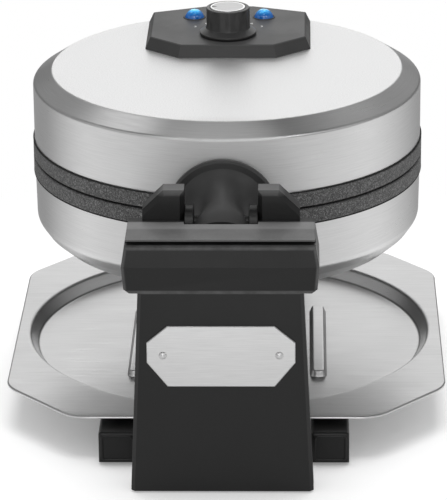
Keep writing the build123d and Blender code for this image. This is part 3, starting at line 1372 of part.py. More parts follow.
def plaque():
    """Plain octagonal metal plate on the grip."""
    half = PLAQUE_W / 2
    top = PLAQUE_TOP_W / 2
    tall = PLAQUE_H / 2
    high = PLAQUE_SIDE_UP + PLAQUE_SIDE_H / 2
    low = PLAQUE_SIDE_UP - PLAQUE_SIDE_H / 2
    outline = [
        (-top, tall),
        (top, tall),
        (half, high),
        (half, low),
        (top, -tall),
        (-top, -tall),
        (-half, low),
        (-half, high),
    ]
    sheet = Pos(0, 0, PLAQUE_Z) * wall_of(outline, -PADDLE_FRONT - PLAQUE_T, -PADDLE_FRONT)
    sheet = chamfer(sheet.faces().sort_by(Axis.Y)[0].edges(), PLAQUE_EDGE)
    for side in (1, -1):
        sheet -= rod_y(RIVET_STEM_D / 2 + SEAT, -PADDLE_FRONT - 3, -PADDLE_FRONT + 1, side * RIVET_X, RIVET_Z)
    return sheet


def rivets():
    """Domed rivets that hold the plate."""
    found = []
    face = -PADDLE_FRONT - PLAQUE_T
    dome_r = ((RIVET_D / 2) ** 2 + RIVET_H**2) / (2 * RIVET_H)
    for side in (1, -1):
        x = side * RIVET_X
        dome = Pos(x, face - RIVET_H + dome_r, RIVET_Z) * Sphere(dome_r)
        dome &= block(x - RIVET_D, x + RIVET_D, face - RIVET_H - 1, face, RIVET_Z - RIVET_D, RIVET_Z + RIVET_D)
        found.append(dome + rod_y(RIVET_STEM_D / 2, face - 0.2, -PADDLE_FRONT + RIVET_IN, x, RIVET_Z))
    return found


def handle_pin():
    """Pivot pin, held in the two ears."""
    half = EAR_OUT - PIN_END
    return upper(rod_x(PIN_D / 2, -half, half, -PIVOT_Y, PIVOT_UP))


def spacers():
    """Collars on the pin between the neck and the ears."""
    found = []
    for low, high in ((-EAR_IN, -NECK_BOSS - LOOSE), (NECK_BOSS + LOOSE, EAR_IN)):
        collar = rod_x(SPACER_R, low, high, -PIVOT_Y, PIVOT_UP)
        found.append(upper(collar - rod_x(PIN_D / 2, low - 1, high + 1, -PIVOT_Y, PIVOT_UP)))
    return found


def main():
    """Write every sub-part."""
    halves()
    save("lid_shell", lid_shell())
    save("lid_posts", together([upper(p) for p in posts()]))
    save("control_panel", control_panel())
    save("panel_screws", together(panel_screws()))
    save("power_lens", lens(-1))
    save("ready_lens", lens(1))
    save("indicator_board", board())
    save("indicator_lamps", together(leds()))
    save("thermostat", thermostat())
    save("thermostat_spindle", spindle())
    save("control_knob", knob())
    save("knob_cap", knob_cap())
    save("hinge_leaf", hinge_leaf())
    save("leaf_screws", together(leaf_screws()))
    save("handle_neck", handle_neck())
    save("neck_screws", together(neck_screws()))
    save("lower_shell", lower_shell())
    save("lower_posts", together(lower_posts()))
    save("lower_shell_screws", together(lower_shell_screws()))
    save("thermal_cutout", cutout())
    save("pivot_bracket", pivot_bracket())
    save("bracket_screws", together(bracket_screws()))
    save("hinge_pin", hinge_pin())
    save("flip_shaft", flip_shaft())
    save("stop_collar", stop_collar())
    save("thrust_washer", washer())
    save("retaining_clip", clip())
    save("flanged_bushes", together([bush(True), bush(False)]))
    save("bearing_column", bearing_column())
    save("stop_pin", stop_pin())
    save("column_screws", together(column_screws()))
    save("stand_shell", stand_shell())
    save("stand_back_cover", stand_cover())
    save("cover_screws", together(cover_screws()))
    save("cord_gland", cord_gland())
    save("base_frame", base_frame())
    save("base_plate", base_plate())
    save("rubber_feet", together(feet()))
    save("drip_tray", drip_tray())
    save("handle_back", handle_back())
    save("handle_front_cover", handle_front())
    save("handle_screws", together(handle_screws()))
    save("handle_plate", plaque())
    save("plate_rivets", together(rivets()))
    save("handle_pin", handle_pin())
    save("handle_spacers", together(spacers()))


main()
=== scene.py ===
"""Round flip-over waffle cooker on its drip tray: finishes, shaped pieces, studio and camera.

Metres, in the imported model's frame: the origin is on the worktop under the head's centre, and the user
stands at -Y.
"""

import math

import bmesh
import bpy
import numpy as np
from mathutils import Matrix, Vector


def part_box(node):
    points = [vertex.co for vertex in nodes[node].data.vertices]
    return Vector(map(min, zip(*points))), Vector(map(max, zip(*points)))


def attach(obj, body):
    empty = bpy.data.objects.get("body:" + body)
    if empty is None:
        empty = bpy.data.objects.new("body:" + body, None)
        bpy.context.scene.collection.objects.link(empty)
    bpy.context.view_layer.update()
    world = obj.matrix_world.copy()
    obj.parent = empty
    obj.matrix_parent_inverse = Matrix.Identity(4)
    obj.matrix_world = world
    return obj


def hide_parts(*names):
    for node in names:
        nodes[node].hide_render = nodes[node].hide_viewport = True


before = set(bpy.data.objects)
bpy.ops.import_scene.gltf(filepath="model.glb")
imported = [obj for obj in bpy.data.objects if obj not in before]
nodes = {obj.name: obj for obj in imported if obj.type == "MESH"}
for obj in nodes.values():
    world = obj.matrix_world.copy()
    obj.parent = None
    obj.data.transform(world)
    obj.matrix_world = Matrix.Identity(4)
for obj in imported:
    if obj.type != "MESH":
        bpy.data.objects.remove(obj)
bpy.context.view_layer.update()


def middle_of(node):
    """The middle of a model piece's box."""
    low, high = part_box(node)
    return [(a + b) / 2 for a, b in zip(low, high)]


# Places that the finishes and the shaped pieces go by
MM = 0.001
SEAM_Z = 136.0 * MM
JOINT_FROM_SEAM = 9.6 * MM  # up or down to the line between a shell and its band
LID_TOP_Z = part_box("lid_shell")[1][2]
FLANGE_Z = middle_of("handle_neck")[2]
PANEL_TOP_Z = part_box("control_panel")[1][2]
LENS_X, LENS_Y = middle_of("ready_lens")[:2]
KNOB_X, KNOB_Y = middle_of("control_knob")[:2]
KNOB_FOOT_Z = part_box("control_knob")[0][2]
KNOB_TOP_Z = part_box("control_knob")[1][2]
BAR_HALF_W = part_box("handle_front_cover")[1][0]
CREASE_Z = 131.5 * MM  # crease across the front of the handle's bar
RAIL_FRONT_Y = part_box("base_frame")[0][1]
RAIL_TOP_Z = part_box("base_frame")[1][2]
TRAY_LOW, TRAY_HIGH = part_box("drip_tray")
TRAY_RIM_Z = TRAY_HIGH[2]
TRAY_FLOOR_Z = 17.2 * MM
TRAY_SHEET = 0.8 * MM
WELL_TOP_R = 117.1 * MM
WELL_FLOOR_R = 111.9 * MM


# Shader helpers


def put(tree, socket, value):
    """Links a socket to another one, or gives it a plain value."""
    if isinstance(value, bpy.types.NodeSocket):
        tree.links.new(value, socket)
    else:
        socket.default_value = value


def shader(tree, kind, settings=None, **inputs):
    """Adds one shader node, with its settings and its inputs by name."""
    made = tree.nodes.new("ShaderNode" + kind)
    for name, value in (settings or {}).items():
        setattr(made, name, value)
    for name, value in inputs.items():
        put(tree, made.inputs[name.replace("_", " ")], value)
    return made


def calc(tree, operation, *values):
    """A Math node's result."""
    made = tree.nodes.new("ShaderNodeMath")
    made.operation = operation
    for socket, value in zip(made.inputs, values):
        put(tree, socket, value)
    return made.outputs[0]


def ramp(tree, value, low, high, out_low=0.0, out_high=1.0, smooth=False):
    """Carries a value's span onto another one, held at both ends."""
    made = tree.nodes.new("ShaderNodeMapRange")
    made.interpolation_type = "SMOOTHSTEP" if smooth else "LINEAR"
    entries = {"Value": value, "From Min": low, "From Max": high, "To Min": out_low, "To Max": out_high}
    for name, entry in entries.items():
        put(tree, made.inputs[name], entry)
    return made.outputs[0]


def within(tree, value, low, low_full, high_full, high, smooth=False):
    """A share that is full between the two middle values and gone past the outer two: two ramps' product."""
    rise = ramp(tree, value, low, low_full, smooth=smooth)
    return calc(tree, "MULTIPLY", rise, ramp(tree, value, high, high_full, smooth=smooth))


def blend_colours(tree, share, first, second):
    """A mix of two colours by a share from 0 to 1."""
    made = tree.nodes.new("ShaderNodeMix")
    made.data_type = "RGBA"
    put(tree, made.inputs["Factor"], share)
    put(tree, made.inputs[6], first)
    put(tree, made.inputs[7], second)
    return made.outputs[2]


def mix_surfaces(tree, share, first, second):
    """A mix of two shaders by a share from 0 to 1."""
    made = tree.nodes.new("ShaderNodeMixShader")
    for socket, value in zip(made.inputs, (share, first, second)):
        put(tree, socket, value)
    return made.outputs[0]


def place_in_piece(tree):
    """The point on the piece, in metres, that stays with it as it moves."""
    return tree.nodes.new("ShaderNodeTexCoord").outputs["Object"]


def place_parts(tree):
    """The X, Y and Z of the point on the piece."""
    return shader(tree, "SeparateXYZ", Vector=place_in_piece(tree)).outputs


def noise(tree, scale, detail, roughness=0.5):
    """Noise over the piece, from 0 to 1."""
    sizes = {"Scale": scale, "Detail": detail, "Roughness": roughness}
    return shader(tree, "TexNoise", Vector=place_in_piece(tree), **sizes).outputs[0]


def distance_from(tree, first, first_middle, second, second_middle):
    """How far a point lies from a middle in one plane: the root of the sum of both offsets' squares."""
    across = calc(tree, "SUBTRACT", first, first_middle)
    along = calc(tree, "SUBTRACT", second, second_middle)
    squares = calc(tree, "MULTIPLY_ADD", across, across, calc(tree, "MULTIPLY", along, along))
    return calc(tree, "SQRT", squares)


def grey(level, warm=0.0):
    """A nearly neutral colour, a touch warmer when warm is above zero."""
    return (level * (1 + warm), level, level * (1 - warm), 1.0)


def new_group(name, inputs, outputs):
    """An empty node group with named value inputs and outputs, and its two end nodes."""
    group = bpy.data.node_groups.new(name, "ShaderNodeTree")
    for label, start in inputs:
        socket = group.interface.new_socket(name=label, in_out="INPUT", socket_type="NodeSocketFloat")
        socket.default_value = start
    for label in outputs:
        group.interface.new_socket(name=label, in_out="OUTPUT", socket_type="NodeSocketFloat")
    return group, group.nodes.new("NodeGroupInput"), group.nodes.new("NodeGroupOutput")


def use_group(tree, group, **inputs):
    """Puts a node group in a material and sets its inputs."""
    made = tree.nodes.new("ShaderNodeGroup")
    made.node_tree = group
    for name, value in inputs.items():
        put(tree, made.inputs[name.replace("_", " ")], value)
    return made.outputs


def make_turned_grain():
    """Grain round the head's axis: noise read at the direction from the axis, the height and the radius.

    The direction is scaled a little and the other two a lot, so each streak is drawn out round the axis.
    """
    group, start, end = new_group(
        "turned grain", [("Fineness", 2600.0), ("Run", 5.0)], ["Streak", "Height", "Cloud"]
    )
    parts = place_parts(group)
    flat = shader(group, "CombineXYZ", X=parts["X"], Y=parts["Y"]).outputs[0]
    reach = shader(group, "VectorMath", {"operation": "LENGTH"}, Vector=flat).outputs["Value"]
    way = shader(group, "VectorMath", {"operation": "NORMALIZE"}, Vector=flat).outputs["Vector"]
    way_parts = shader(group, "SeparateXYZ", Vector=way).outputs
    run = start.outputs["Run"]
    fine = start.outputs["Fineness"]
    spot = shader(
        group,
        "CombineXYZ",
        X=calc(group, "MULTIPLY", way_parts["X"], run),
        Y=calc(group, "MULTIPLY", way_parts["Y"], run),
        Z=calc(group, "MULTIPLY", parts["Z"], fine),
    ).outputs[0]
    streak = shader(
        group,
        "TexNoise",
        {"noise_dimensions": "4D"},
        Vector=spot,
        W=calc(group, "MULTIPLY", reach, fine),
        Scale=1.0,
        Detail=3.0,
        Roughness=0.65,
    ).outputs[0]
    put(group, end.inputs["Streak"], ramp(group, streak, 0.28, 0.72))
    put(group, end.inputs["Height"], streak)
    put(group, end.inputs["Cloud"], ramp(group, noise(group, 22.0, 4.0, 0.55), 0.3, 0.7))
    return group


def make_straight_grain():
    """Grain along the piece's X: noise read at a point whose X is scaled a little, its Y and Z a lot."""
    group, start, end = new_group(
        "straight grain", [("Fineness", 2200.0), ("Run", 26.0)], ["Streak", "Height", "Cloud"]
    )
    parts = place_parts(group)
    fine = start.outputs["Fineness"]
    spot = shader(
        group,
        "CombineXYZ",
        X=calc(group, "MULTIPLY", parts["X"], start.outputs["Run"]),
        Y=calc(group, "MULTIPLY", parts["Y"], fine),
        Z=calc(group, "MULTIPLY", parts["Z"], fine),
    ).outputs[0]
    streak = shader(group, "TexNoise", Vector=spot, Scale=1.0, Detail=3.0, Roughness=0.6).outputs[0]
    put(group, end.inputs["Streak"], ramp(group, streak, 0.28, 0.72))
    put(group, end.inputs["Height"], streak)
    put(group, end.inputs["Cloud"], ramp(group, noise(group, 16.0, 5.0, 0.6), 0.3, 0.7))
    return group


def make_flecks():
    """Salt-and-pepper flecks: two sizes of noise, added and cut near their crests and troughs."""
    group, start, end = new_group("flecks", [("Size", 0.0009)], ["Light", "Dark", "Height"])
    scale = calc(group, "DIVIDE", 1.0, start.outputs["Size"])
    small = noise(group, scale, 2.0, 0.7)
    large = noise(group, calc(group, "MULTIPLY", scale, 0.43), 3.0, 0.75)
    mixed = calc(group, "MULTIPLY_ADD", small, 0.6, calc(group, "MULTIPLY", large, 0.4))
    put(group, end.inputs["Light"], ramp(group, mixed, 0.51, 0.62))
    put(group, end.inputs["Dark"], ramp(group, mixed, 0.49, 0.39))
    put(group, end.inputs["Height"], mixed)
    return group


def make_moulded_skin():
    """A moulded plastic's skin: a fine pebble for the relief, slow clouds of polish, and fine dust."""
    group, start, end = new_group("moulded skin", [("Pebble", 0.00055)], ["Height", "Polish", "Dust"])
    scale = calc(group, "DIVIDE", 1.0, start.outputs["Pebble"])
    pebble = shader(group, "TexVoronoi", {"feature": "SMOOTH_F1"}, Vector=place_in_piece(group), Scale=scale)
    put(group, end.inputs["Height"], pebble.outputs["Distance"])
    put(group, end.inputs["Polish"], ramp(group, noise(group, 34.0, 5.0, 0.6), 0.35, 0.65, smooth=True))
    put(group, end.inputs["Dust"], ramp(group, noise(group, 2600.0, 2.0, 0.8), 0.62, 0.78))
    return group


turned_grain = make_turned_grain()
straight_grain = make_straight_grain()
flecks = make_flecks()
moulded_skin = make_moulded_skin()


# Finishes


def new_material(name):
    """A material with a Principled shader, its tree and that shader."""
    material = bpy.data.materials.new(name)
    material.use_nodes = True
    tree = material.node_tree
    return material, tree, tree.nodes["Principled BSDF"]


def lift(tree, body, height, strength, distance):
    """Feeds a height into the shader's normal through a Bump node."""
    bump = shader(tree, "Bump", Strength=strength, Distance=distance, Height=height)
    put(tree, body.inputs["Normal"], bump.outputs["Normal"])


def brushed_metal(
    name, group, level, warm=0.0, rough=0.3, contrast=0.12, fineness=2400.0, run=6.0, relief=0.25
):
    """Metal with drawn-out grain in its colour, its gloss and its relief, and slow clouds in its gloss."""
    streak_swing, cloud_swing = 0.10, 0.05
    material, tree, body = new_material(name)
    grain = use_group(tree, group, Fineness=fineness, Run=run)
    colour = blend_colours(tree, grain["Streak"], grey(level * (1 - contrast), warm), grey(level, warm))
    put(tree, body.inputs["Base Color"], colour)
    put(tree, body.inputs["Metallic"], 1.0)
    gloss = calc(tree, "MULTIPLY_ADD", grain["Streak"], -streak_swing, rough + streak_swing / 2)
    put(tree, body.inputs["Roughness"], calc(tree, "MULTIPLY_ADD", grain["Cloud"], cloud_swing, gloss))
    lift(tree, body, grain["Height"], relief, 0.00004)
    return material


def moulded_plastic(name, level, warm=0.0, rough=0.38, pebble=0.00055, relief=0.12, sheen=0.35):
    """Plastic with a pebbled skin, polished in places, with a few pale specks of dust."""
    dust_share = 0.06
    material, tree, body = new_material(name)
    skin = use_group(tree, moulded_skin, Pebble=pebble)
    colour = blend_colours(tree, skin["Polish"], grey(level, warm), grey(level * 0.86, warm))
    specks = calc(tree, "MULTIPLY", skin["Dust"], dust_share)
    put(tree, body.inputs["Base Color"], blend_colours(tree, specks, colour, grey(0.4)))
    put(tree, body.inputs["Roughness"], ramp(tree, skin["Polish"], 0.0, 1.0, rough + 0.05, rough - 0.03))
    put(tree, body.inputs["Specular IOR Level"], sheen)
    lift(tree, body, skin["Height"], relief, 0.00005)
    return material


def speckled_band(name):
    """Dark grey ring material with salt-and-pepper flecks."""
    material, tree, body = new_material(name)
    spots = use_group(tree, flecks, Size=0.00055)
    colour = blend_colours(tree, spots["Light"], grey(0.060), grey(0.22))
    colour = blend_colours(tree, spots["Dark"], colour, grey(0.014))
    put(tree, body.inputs["Base Color"], colour)
    put(tree, body.inputs["Roughness"], ramp(tree, spots["Light"], 0.0, 1.0, 0.5, 0.36))
    lift(tree, body, spots["Height"], 0.3, 0.00012)
    return material


def coated_grid(name):
    """The baking plates' dark non-stick coat: satin, with fine pale flecks and a faint orange peel."""
    material, tree, body = new_material(name)
    spots = use_group(tree, flecks, Size=0.0005)
    skin = use_group(tree, moulded_skin, Pebble=0.0016)
    colour = blend_colours(tree, spots["Light"], grey(0.03, 0.02), grey(0.055, 0.02))
    put(tree, body.inputs["Base Color"], blend_colours(tree, skin["Polish"], colour, grey(0.024, 0.04)))
    put(tree, body.inputs["Roughness"], ramp(tree, skin["Polish"], 0.0, 1.0, 0.44, 0.34))
    lift(tree, body, skin["Height"], 0.15, 0.0001)
    return material


def jewel_lens(name):
    """Bright blue domed lens under a clear gloss, deeper at its rim; painted glow: its colour turns paler
    and it glows towards its middle, standing in for a lamp shining through it and the dome's highlight.
    """
    material, tree, body = new_material(name)
    parts = place_parts(tree)
    off = distance_from(tree, calc(tree, "ABSOLUTE", parts["X"]), LENS_X, parts["Y"], LENS_Y)
    swirl = noise(tree, 560.0, 3.0)
    rim, heart = 5.2 * MM, 1.2 * MM
    # painted glow and highlight: the share that makes the lens's middle paler and glowing
    lit = ramp(tree, off, rim, heart, smooth=True)
    lit = calc(tree, "MULTIPLY", lit, ramp(tree, swirl, 0.4, 0.6, 0.45, 1.0))
    deep, bright = (0.002, 0.08, 0.30, 1.0), (0.08, 0.54, 0.95, 1.0)
    deep_glow, bright_glow = (0.0, 0.06, 0.22, 1.0), (0.02, 0.3, 0.7, 1.0)
    put(tree, body.inputs["Base Color"], blend_colours(tree, lit, deep, bright))
    put(tree, body.inputs["Emission Color"], blend_colours(tree, lit, deep_glow, bright_glow))
    put(tree, body.inputs["Emission Strength"], 0.3)
    put(tree, body.inputs["Roughness"], ramp(tree, swirl, 0.3, 0.7, 0.1, 0.18))
    put(tree, body.inputs["Coat Weight"], 1.0)
    put(tree, body.inputs["Coat Roughness"], 0.04)
    return material


def clear_lamp(name):
    """The small clear lamp bodies under the lenses."""
    material, tree, body = new_material(name)
    haze = noise(tree, 600.0, 3.0)
    put(tree, body.inputs["Base Color"], blend_colours(tree, haze, (0.7, 0.8, 0.9, 1), (0.9, 0.95, 1.0, 1)))
    put(tree, body.inputs["Roughness"], ramp(tree, haze, 0.3, 0.7, 0.05, 0.15))
    put(tree, body.inputs["Transmission Weight"], 0.7)
    return material


def circuit_board(name):
    """Green board with paler tracks: the joints of a fine brick pattern."""
    material, tree, body = new_material(name)
    tracks = shader(tree, "TexBrick", Vector=place_in_piece(tree), Scale=260.0).outputs[1]
    grainy = noise(tree, 900.0, 3.0)
    colour = blend_colours(tree, tracks, (0.015, 0.16, 0.05, 1), (0.03, 0.26, 0.09, 1))
    put(tree, body.inputs["Base Color"], blend_colours(tree, grainy, colour, (0.01, 0.1, 0.035, 1)))
    put(tree, body.inputs["Roughness"], ramp(tree, grainy, 0.3, 0.7, 0.3, 0.45))
    return material


def fired_ceramic(name):
    """Off-white ceramic with a faint mottling."""
    material, tree, body = new_material(name)
    spots = use_group(tree, flecks, Size=0.0012)
    colour = blend_colours(tree, spots["Dark"], grey(0.74, 0.03), grey(0.6, 0.06))
    put(tree, body.inputs["Base Color"], colour)
    put(tree, body.inputs["Roughness"], ramp(tree, spots["Light"], 0.0, 1.0, 0.5, 0.3))
    lift(tree, body, spots["Height"], 0.1, 0.0001)
    return material


def printed_marks(name):
    """Off-white print with a faint unevenness in its colour."""
    material, tree, body = new_material(name)
    patchy = noise(tree, 900.0, 2.0)
    put(tree, body.inputs["Base Color"], blend_colours(tree, patchy, grey(0.55), grey(0.75)))
    put(tree, body.inputs["Roughness"], ramp(tree, patchy, 0.3, 0.7, 0.45, 0.6))
    return material


finishes = {
    "shell_steel": brushed_metal(
        "brushed shell steel", turned_grain, 0.80, rough=0.30, contrast=0.10, relief=0.14
    ),
    "tray_steel": brushed_metal(
        "brushed tray steel", straight_grain, 0.53, rough=0.30, contrast=0.10, fineness=1900.0, run=40.0
    ),
    "plate_steel": brushed_metal(
        "brushed plate steel", straight_grain, 0.84, rough=0.34, contrast=0.14, fineness=3600.0, run=60.0
    ),
    "cap_alloy": brushed_metal(
        "brushed cap alloy", straight_grain, 0.56, rough=0.32, contrast=0.2, fineness=2600.0, run=90.0
    ),
    "zinc_steel": brushed_metal("plated steel", straight_grain, 0.6, rough=0.3, fineness=3000.0, run=300.0),
    "reflector_alloy": brushed_metal("rolled reflector alloy", straight_grain, 0.7, rough=0.28, run=50.0),
    "element_steel": brushed_metal(
        "heated element steel", straight_grain, 0.30, warm=0.12, rough=0.4, run=500.0
    ),
    "cast_alloy": brushed_metal(
        "cast alloy", straight_grain, 0.5, rough=0.46, fineness=700.0, run=600.0, relief=0.5
    ),
    "bronze": brushed_metal("bearing bronze", turned_grain, 0.42, warm=0.38, rough=0.34),
    "band_grey": speckled_band("speckled grey band"),
    "nonstick": coated_grid("non-stick coat"),
    "handle_black": moulded_plastic("satin black handle", 0.005, rough=0.38, sheen=0.45),
    "base_black": moulded_plastic("black base", 0.007, rough=0.34),
    "panel_grey": moulded_plastic("dark grey panel", 0.040, rough=0.46, pebble=0.0007, relief=0.2),
    "knob_gloss": moulded_plastic("black knob", 0.028, rough=0.34, relief=0.05, sheen=0.5),
    "thermostat_body": moulded_plastic("brown thermostat body", 0.05, warm=0.35, rough=0.42),
    "foot_rubber": moulded_plastic("matt rubber", 0.014, rough=0.7, relief=0.25),
    "ceramic_white": fired_ceramic("fired ceramic"),
    "blue_lens": jewel_lens("blue lens"),
    "lamp_clear": clear_lamp("clear lamp"),
    "board_green": circuit_board("green board"),
}
dial_print = printed_marks("white dial print")
pin_finish = brushed_metal("blackened pin", straight_grain, 0.05, rough=0.4, run=300.0)
neck_finish = moulded_plastic("satin neck", 0.030, rough=0.46, sheen=0.5)


# Painted light and highlights, marks and second finishes


def opened(finish):
    """A finish's tree, its shader, and the X, Y and Z of the point on the piece."""
    tree = finishes[finish].node_tree
    return tree, tree.nodes["Principled BSDF"], place_parts(tree)


def tint_over(tree, body, share, colour):
    """Lays a colour over the shader's own one by a share."""
    own = body.inputs["Base Color"].links[0].from_socket
    put(tree, body.inputs["Base Color"], blend_colours(tree, share, own, colour))


def gloss_over(tree, body, share, rough):
    """Carries the shader's roughness over to another one by a share."""
    own = body.inputs["Roughness"].links[0].from_socket
    gap = calc(tree, "SUBTRACT", rough, own)
    put(tree, body.inputs["Roughness"], calc(tree, "MULTIPLY_ADD", share, gap, own))


def satin_lid_top_with_painted_light():
    """Makes the lid's flat rougher than its brushed wall, with a fine mottle, and paler: painted light for
    the brighter light its flat top catches.
    """
    tree, body, parts = opened("shell_steel")
    starts, full, pale = LID_TOP_Z - 0.6 * MM, LID_TOP_Z - 0.1 * MM, 0.97
    share = ramp(tree, parts["Z"], starts, full, smooth=True)
    grain = noise(tree, 1300.0, 4.0, 0.8)
    gloss_over(tree, body, share, ramp(tree, grain, 0.3, 0.7, 0.56, 0.44))
    mottle = ramp(tree, grain, 0.36, 0.64)
    # painted light: the flat is tinted paler than the wall; the mottle in the tint is its own finish
    tint_over(tree, body, share, blend_colours(tree, mottle, grey(pale * 0.84), grey(pale)))


def satin_round_flange():
    """Makes the wall's front rougher round the neck's flange, by the distance in X and Z from its middle."""
    tree, body, parts = opened("shell_steel")
    full_r, outer_r, rough = 40.0 * MM, 58.0 * MM, 0.62
    away = distance_from(tree, parts["X"], 0.0, parts["Z"], FLANGE_Z)
    front = ramp(tree, parts["Y"], -90.0 * MM, -100.0 * MM)
    share = calc(tree, "MULTIPLY", ramp(tree, away, outer_r, full_r, smooth=True), front)
    gloss_over(tree, body, share, rough)


def painted_light_well_wall():
    """Painted light: lightens the tray's sheet on the wall of its well, between floor and rim and past a
    reach, for the light that falls on that wall.
    """
    tree, body, parts = opened("tray_steel")
    low, high, reach = TRAY_FLOOR_Z + 0.5 * MM, TRAY_RIM_Z - 0.2 * MM, 100.0 * MM
    away = distance_from(tree, parts["X"], 0.0, parts["Y"], 0.0)
    share = within(tree, parts["Z"], low, low + 0.8 * MM, high - 1.2 * MM, high)
    share = calc(tree, "MULTIPLY", share, ramp(tree, away, reach, reach + 4.0 * MM))
    # painted light on the well's wall
    tint_over(tree, body, share, grey(0.95))


def marked_cap_with_painted_highlight():
    """Gives the knob's cap a painted highlight, a bright ring at its rim, and a small dark pointer, a wedge
    that narrows towards +X.
    """
    tree, body, parts = opened("cap_alloy")
    rim_r, rim_full_r = 8.8 * MM, 9.2 * MM
    pointer_x, half_length, half_width, taper = -7.8 * MM, 1.4 * MM, 0.9 * MM, 0.4
    away = distance_from(tree, parts["X"], KNOB_X, parts["Y"], KNOB_Y)
    # painted highlight: a bright ring at the cap's rim, where its chamfer catches light
    tint_over(tree, body, ramp(tree, away, rim_r, rim_full_r), grey(0.92))
    across = calc(tree, "SUBTRACT", parts["X"], pointer_x)
    along = calc(tree, "ABSOLUTE", calc(tree, "SUBTRACT", parts["Y"], KNOB_Y))
    wedge = calc(tree, "LESS_THAN", along, calc(tree, "MULTIPLY_ADD", across, -taper, half_width))
    inside = calc(tree, "LESS_THAN", calc(tree, "ABSOLUTE", across), half_length)
    tint_over(tree, body, calc(tree, "MULTIPLY", wedge, inside), grey(0.012))


def painted_highlight_bar_rims():
    """Painted highlights: greys narrow rims along the top, foot and ends of the bar's front, where its
    bevels would catch light.

    The bar's half width narrows in a straight line above and below its crease, and the end rims follow it.
    """
    tree, body, parts = opened("handle_black")
    narrowing_above, narrowing_below = 0.168, 0.075
    height = parts["Z"]
    above = calc(tree, "MAXIMUM", calc(tree, "SUBTRACT", height, CREASE_Z), 0.0)
    below = calc(tree, "MAXIMUM", calc(tree, "SUBTRACT", CREASE_Z, height), 0.0)
    lower_half = calc(tree, "MULTIPLY_ADD", below, -narrowing_below, BAR_HALF_W)
    half = calc(tree, "MULTIPLY_ADD", above, -narrowing_above, lower_half)
    from_end = calc(tree, "SUBTRACT", half, calc(tree, "ABSOLUTE", parts["X"]))
    top = within(tree, height, 140.2 * MM, 141.2 * MM, 142.8 * MM, 143.2 * MM)
    foot = within(tree, height, 115.5 * MM, 116.0 * MM, 117.2 * MM, 118.0 * MM)
    bar = within(tree, height, 115.5 * MM, 116.0 * MM, 146.0 * MM, 146.5 * MM)
    end = calc(tree, "MULTIPLY", ramp(tree, from_end, 1.9 * MM, 1.0 * MM), bar)
    share = calc(tree, "MAXIMUM", end, calc(tree, "MAXIMUM", top, foot))
    share = calc(tree, "MULTIPLY", share, ramp(tree, parts["Y"], -173.5 * MM, -174.5 * MM))
    share = calc(tree, "MULTIPLY", share, ramp(tree, noise(tree, 120.0, 3.0, 0.7), 0.3, 0.7, 0.45, 1.0))
    # painted highlight: a grey rim where the bar's bevels would catch light
    tint_over(tree, body, share, grey(0.075))


def painted_light_handle_top(low, high, near, far, level):
    """Painted light: greys the handle's upward faces, above a height and between two places along Y, where
    light from above falls on them.

    Heights and places are in millimetres. The grey fades towards both places along Y.
    """
    tree, body, parts = opened("handle_black")
    fade = 2.0
    share = within(tree, parts["Y"], near * MM, (near + fade) * MM, (far - fade) * MM, far * MM)
    share = calc(tree, "MULTIPLY", ramp(tree, parts["Z"], low * MM, high * MM), share)
    share = calc(tree, "MULTIPLY", share, ramp(tree, noise(tree, 90.0, 4.0, 0.7), 0.3, 0.7, 0.8, 1.0))
    # painted light on the handle's upward faces
    tint_over(tree, body, share, grey(level))


satin_lid_top_with_painted_light()
satin_round_flange()
painted_light_well_wall()
marked_cap_with_painted_highlight()
painted_highlight_bar_rims()
# painted light on the bar's top, paler towards its back, and on the ears' tops
painted_light_handle_top(low=144.6, high=145.6, near=-185.0, far=-152.5, level=0.085)
painted_light_handle_top(low=144.6, high=145.6, near=-165.0, far=-152.5, level=0.130)
painted_light_handle_top(low=160.0, high=162.5, near=-185.0, far=-130.0, level=0.060)
for piece in nodes.values():
    for slot in piece.material_slots:
        slot.material = finishes[slot.material.name.split(".")[0]]
nodes["handle_pin"].material_slots[0].material = pin_finish


# Shaped pieces


def finish_piece(piece, body, slot, replaces=()):
    """Gives a shaped piece its finish, its body and the model's pieces that it stands for."""
    piece.data.materials.clear()
    piece.data.materials.append(finishes[slot])
    if replaces:
        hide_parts(*replaces)
    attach(piece, body)
    return piece


def grid_piece(name, points, close_rows=False, cap_last=False):
    """A mesh from a grid of points (rows, columns, 3): each row is a closed loop, joined to the next row.

    close_rows joins the last row to the first one. cap_last closes the last row by a fan to its middle.
    """
    rows, columns = points.shape[:2]
    index = np.arange(rows * columns).reshape(rows, columns)
    beside = np.roll(index, -1, axis=1)
    if close_rows:
        corners = [index, beside, np.roll(beside, -1, axis=0), np.roll(index, -1, axis=0)]
    else:
        corners = [index[:-1], beside[:-1], beside[1:], index[1:]]
    faces = np.stack(corners, axis=-1).reshape(-1, 4).tolist()
    flat = points.reshape(-1, 3)
    if cap_last:
        hub = np.full(columns, len(flat))
        faces += np.stack([index[-1], beside[-1], hub], axis=-1).tolist()
        flat = np.vstack([flat, points[-1].mean(axis=0)])
    mesh = bpy.data.meshes.new(name)
    mesh.from_pydata(flat.tolist(), [], faces)
    mesh.shade_smooth()
    piece = bpy.data.objects.new(name, mesh)
    bpy.context.scene.collection.objects.link(piece)
    return piece


def turned_points(profile, middle, turns, wave=None):
    """A profile of (radius, height) points carried round an upright axis.

    wave, if given, is a function of the angle and the height that is added to the radius.
    """
    profile = np.asarray(profile, float)
    angle = np.linspace(0.0, 2 * math.pi, turns, endpoint=False)
    reach = np.repeat(profile[:, :1], turns, axis=1)
    if wave is not None:
        reach = reach + wave(angle[None, :], profile[:, 1:])
    height = np.repeat(profile[:, 1:], turns, axis=1)
    return np.stack([middle[0] + reach * np.cos(angle), middle[1] + reach * np.sin(angle), height], axis=-1)


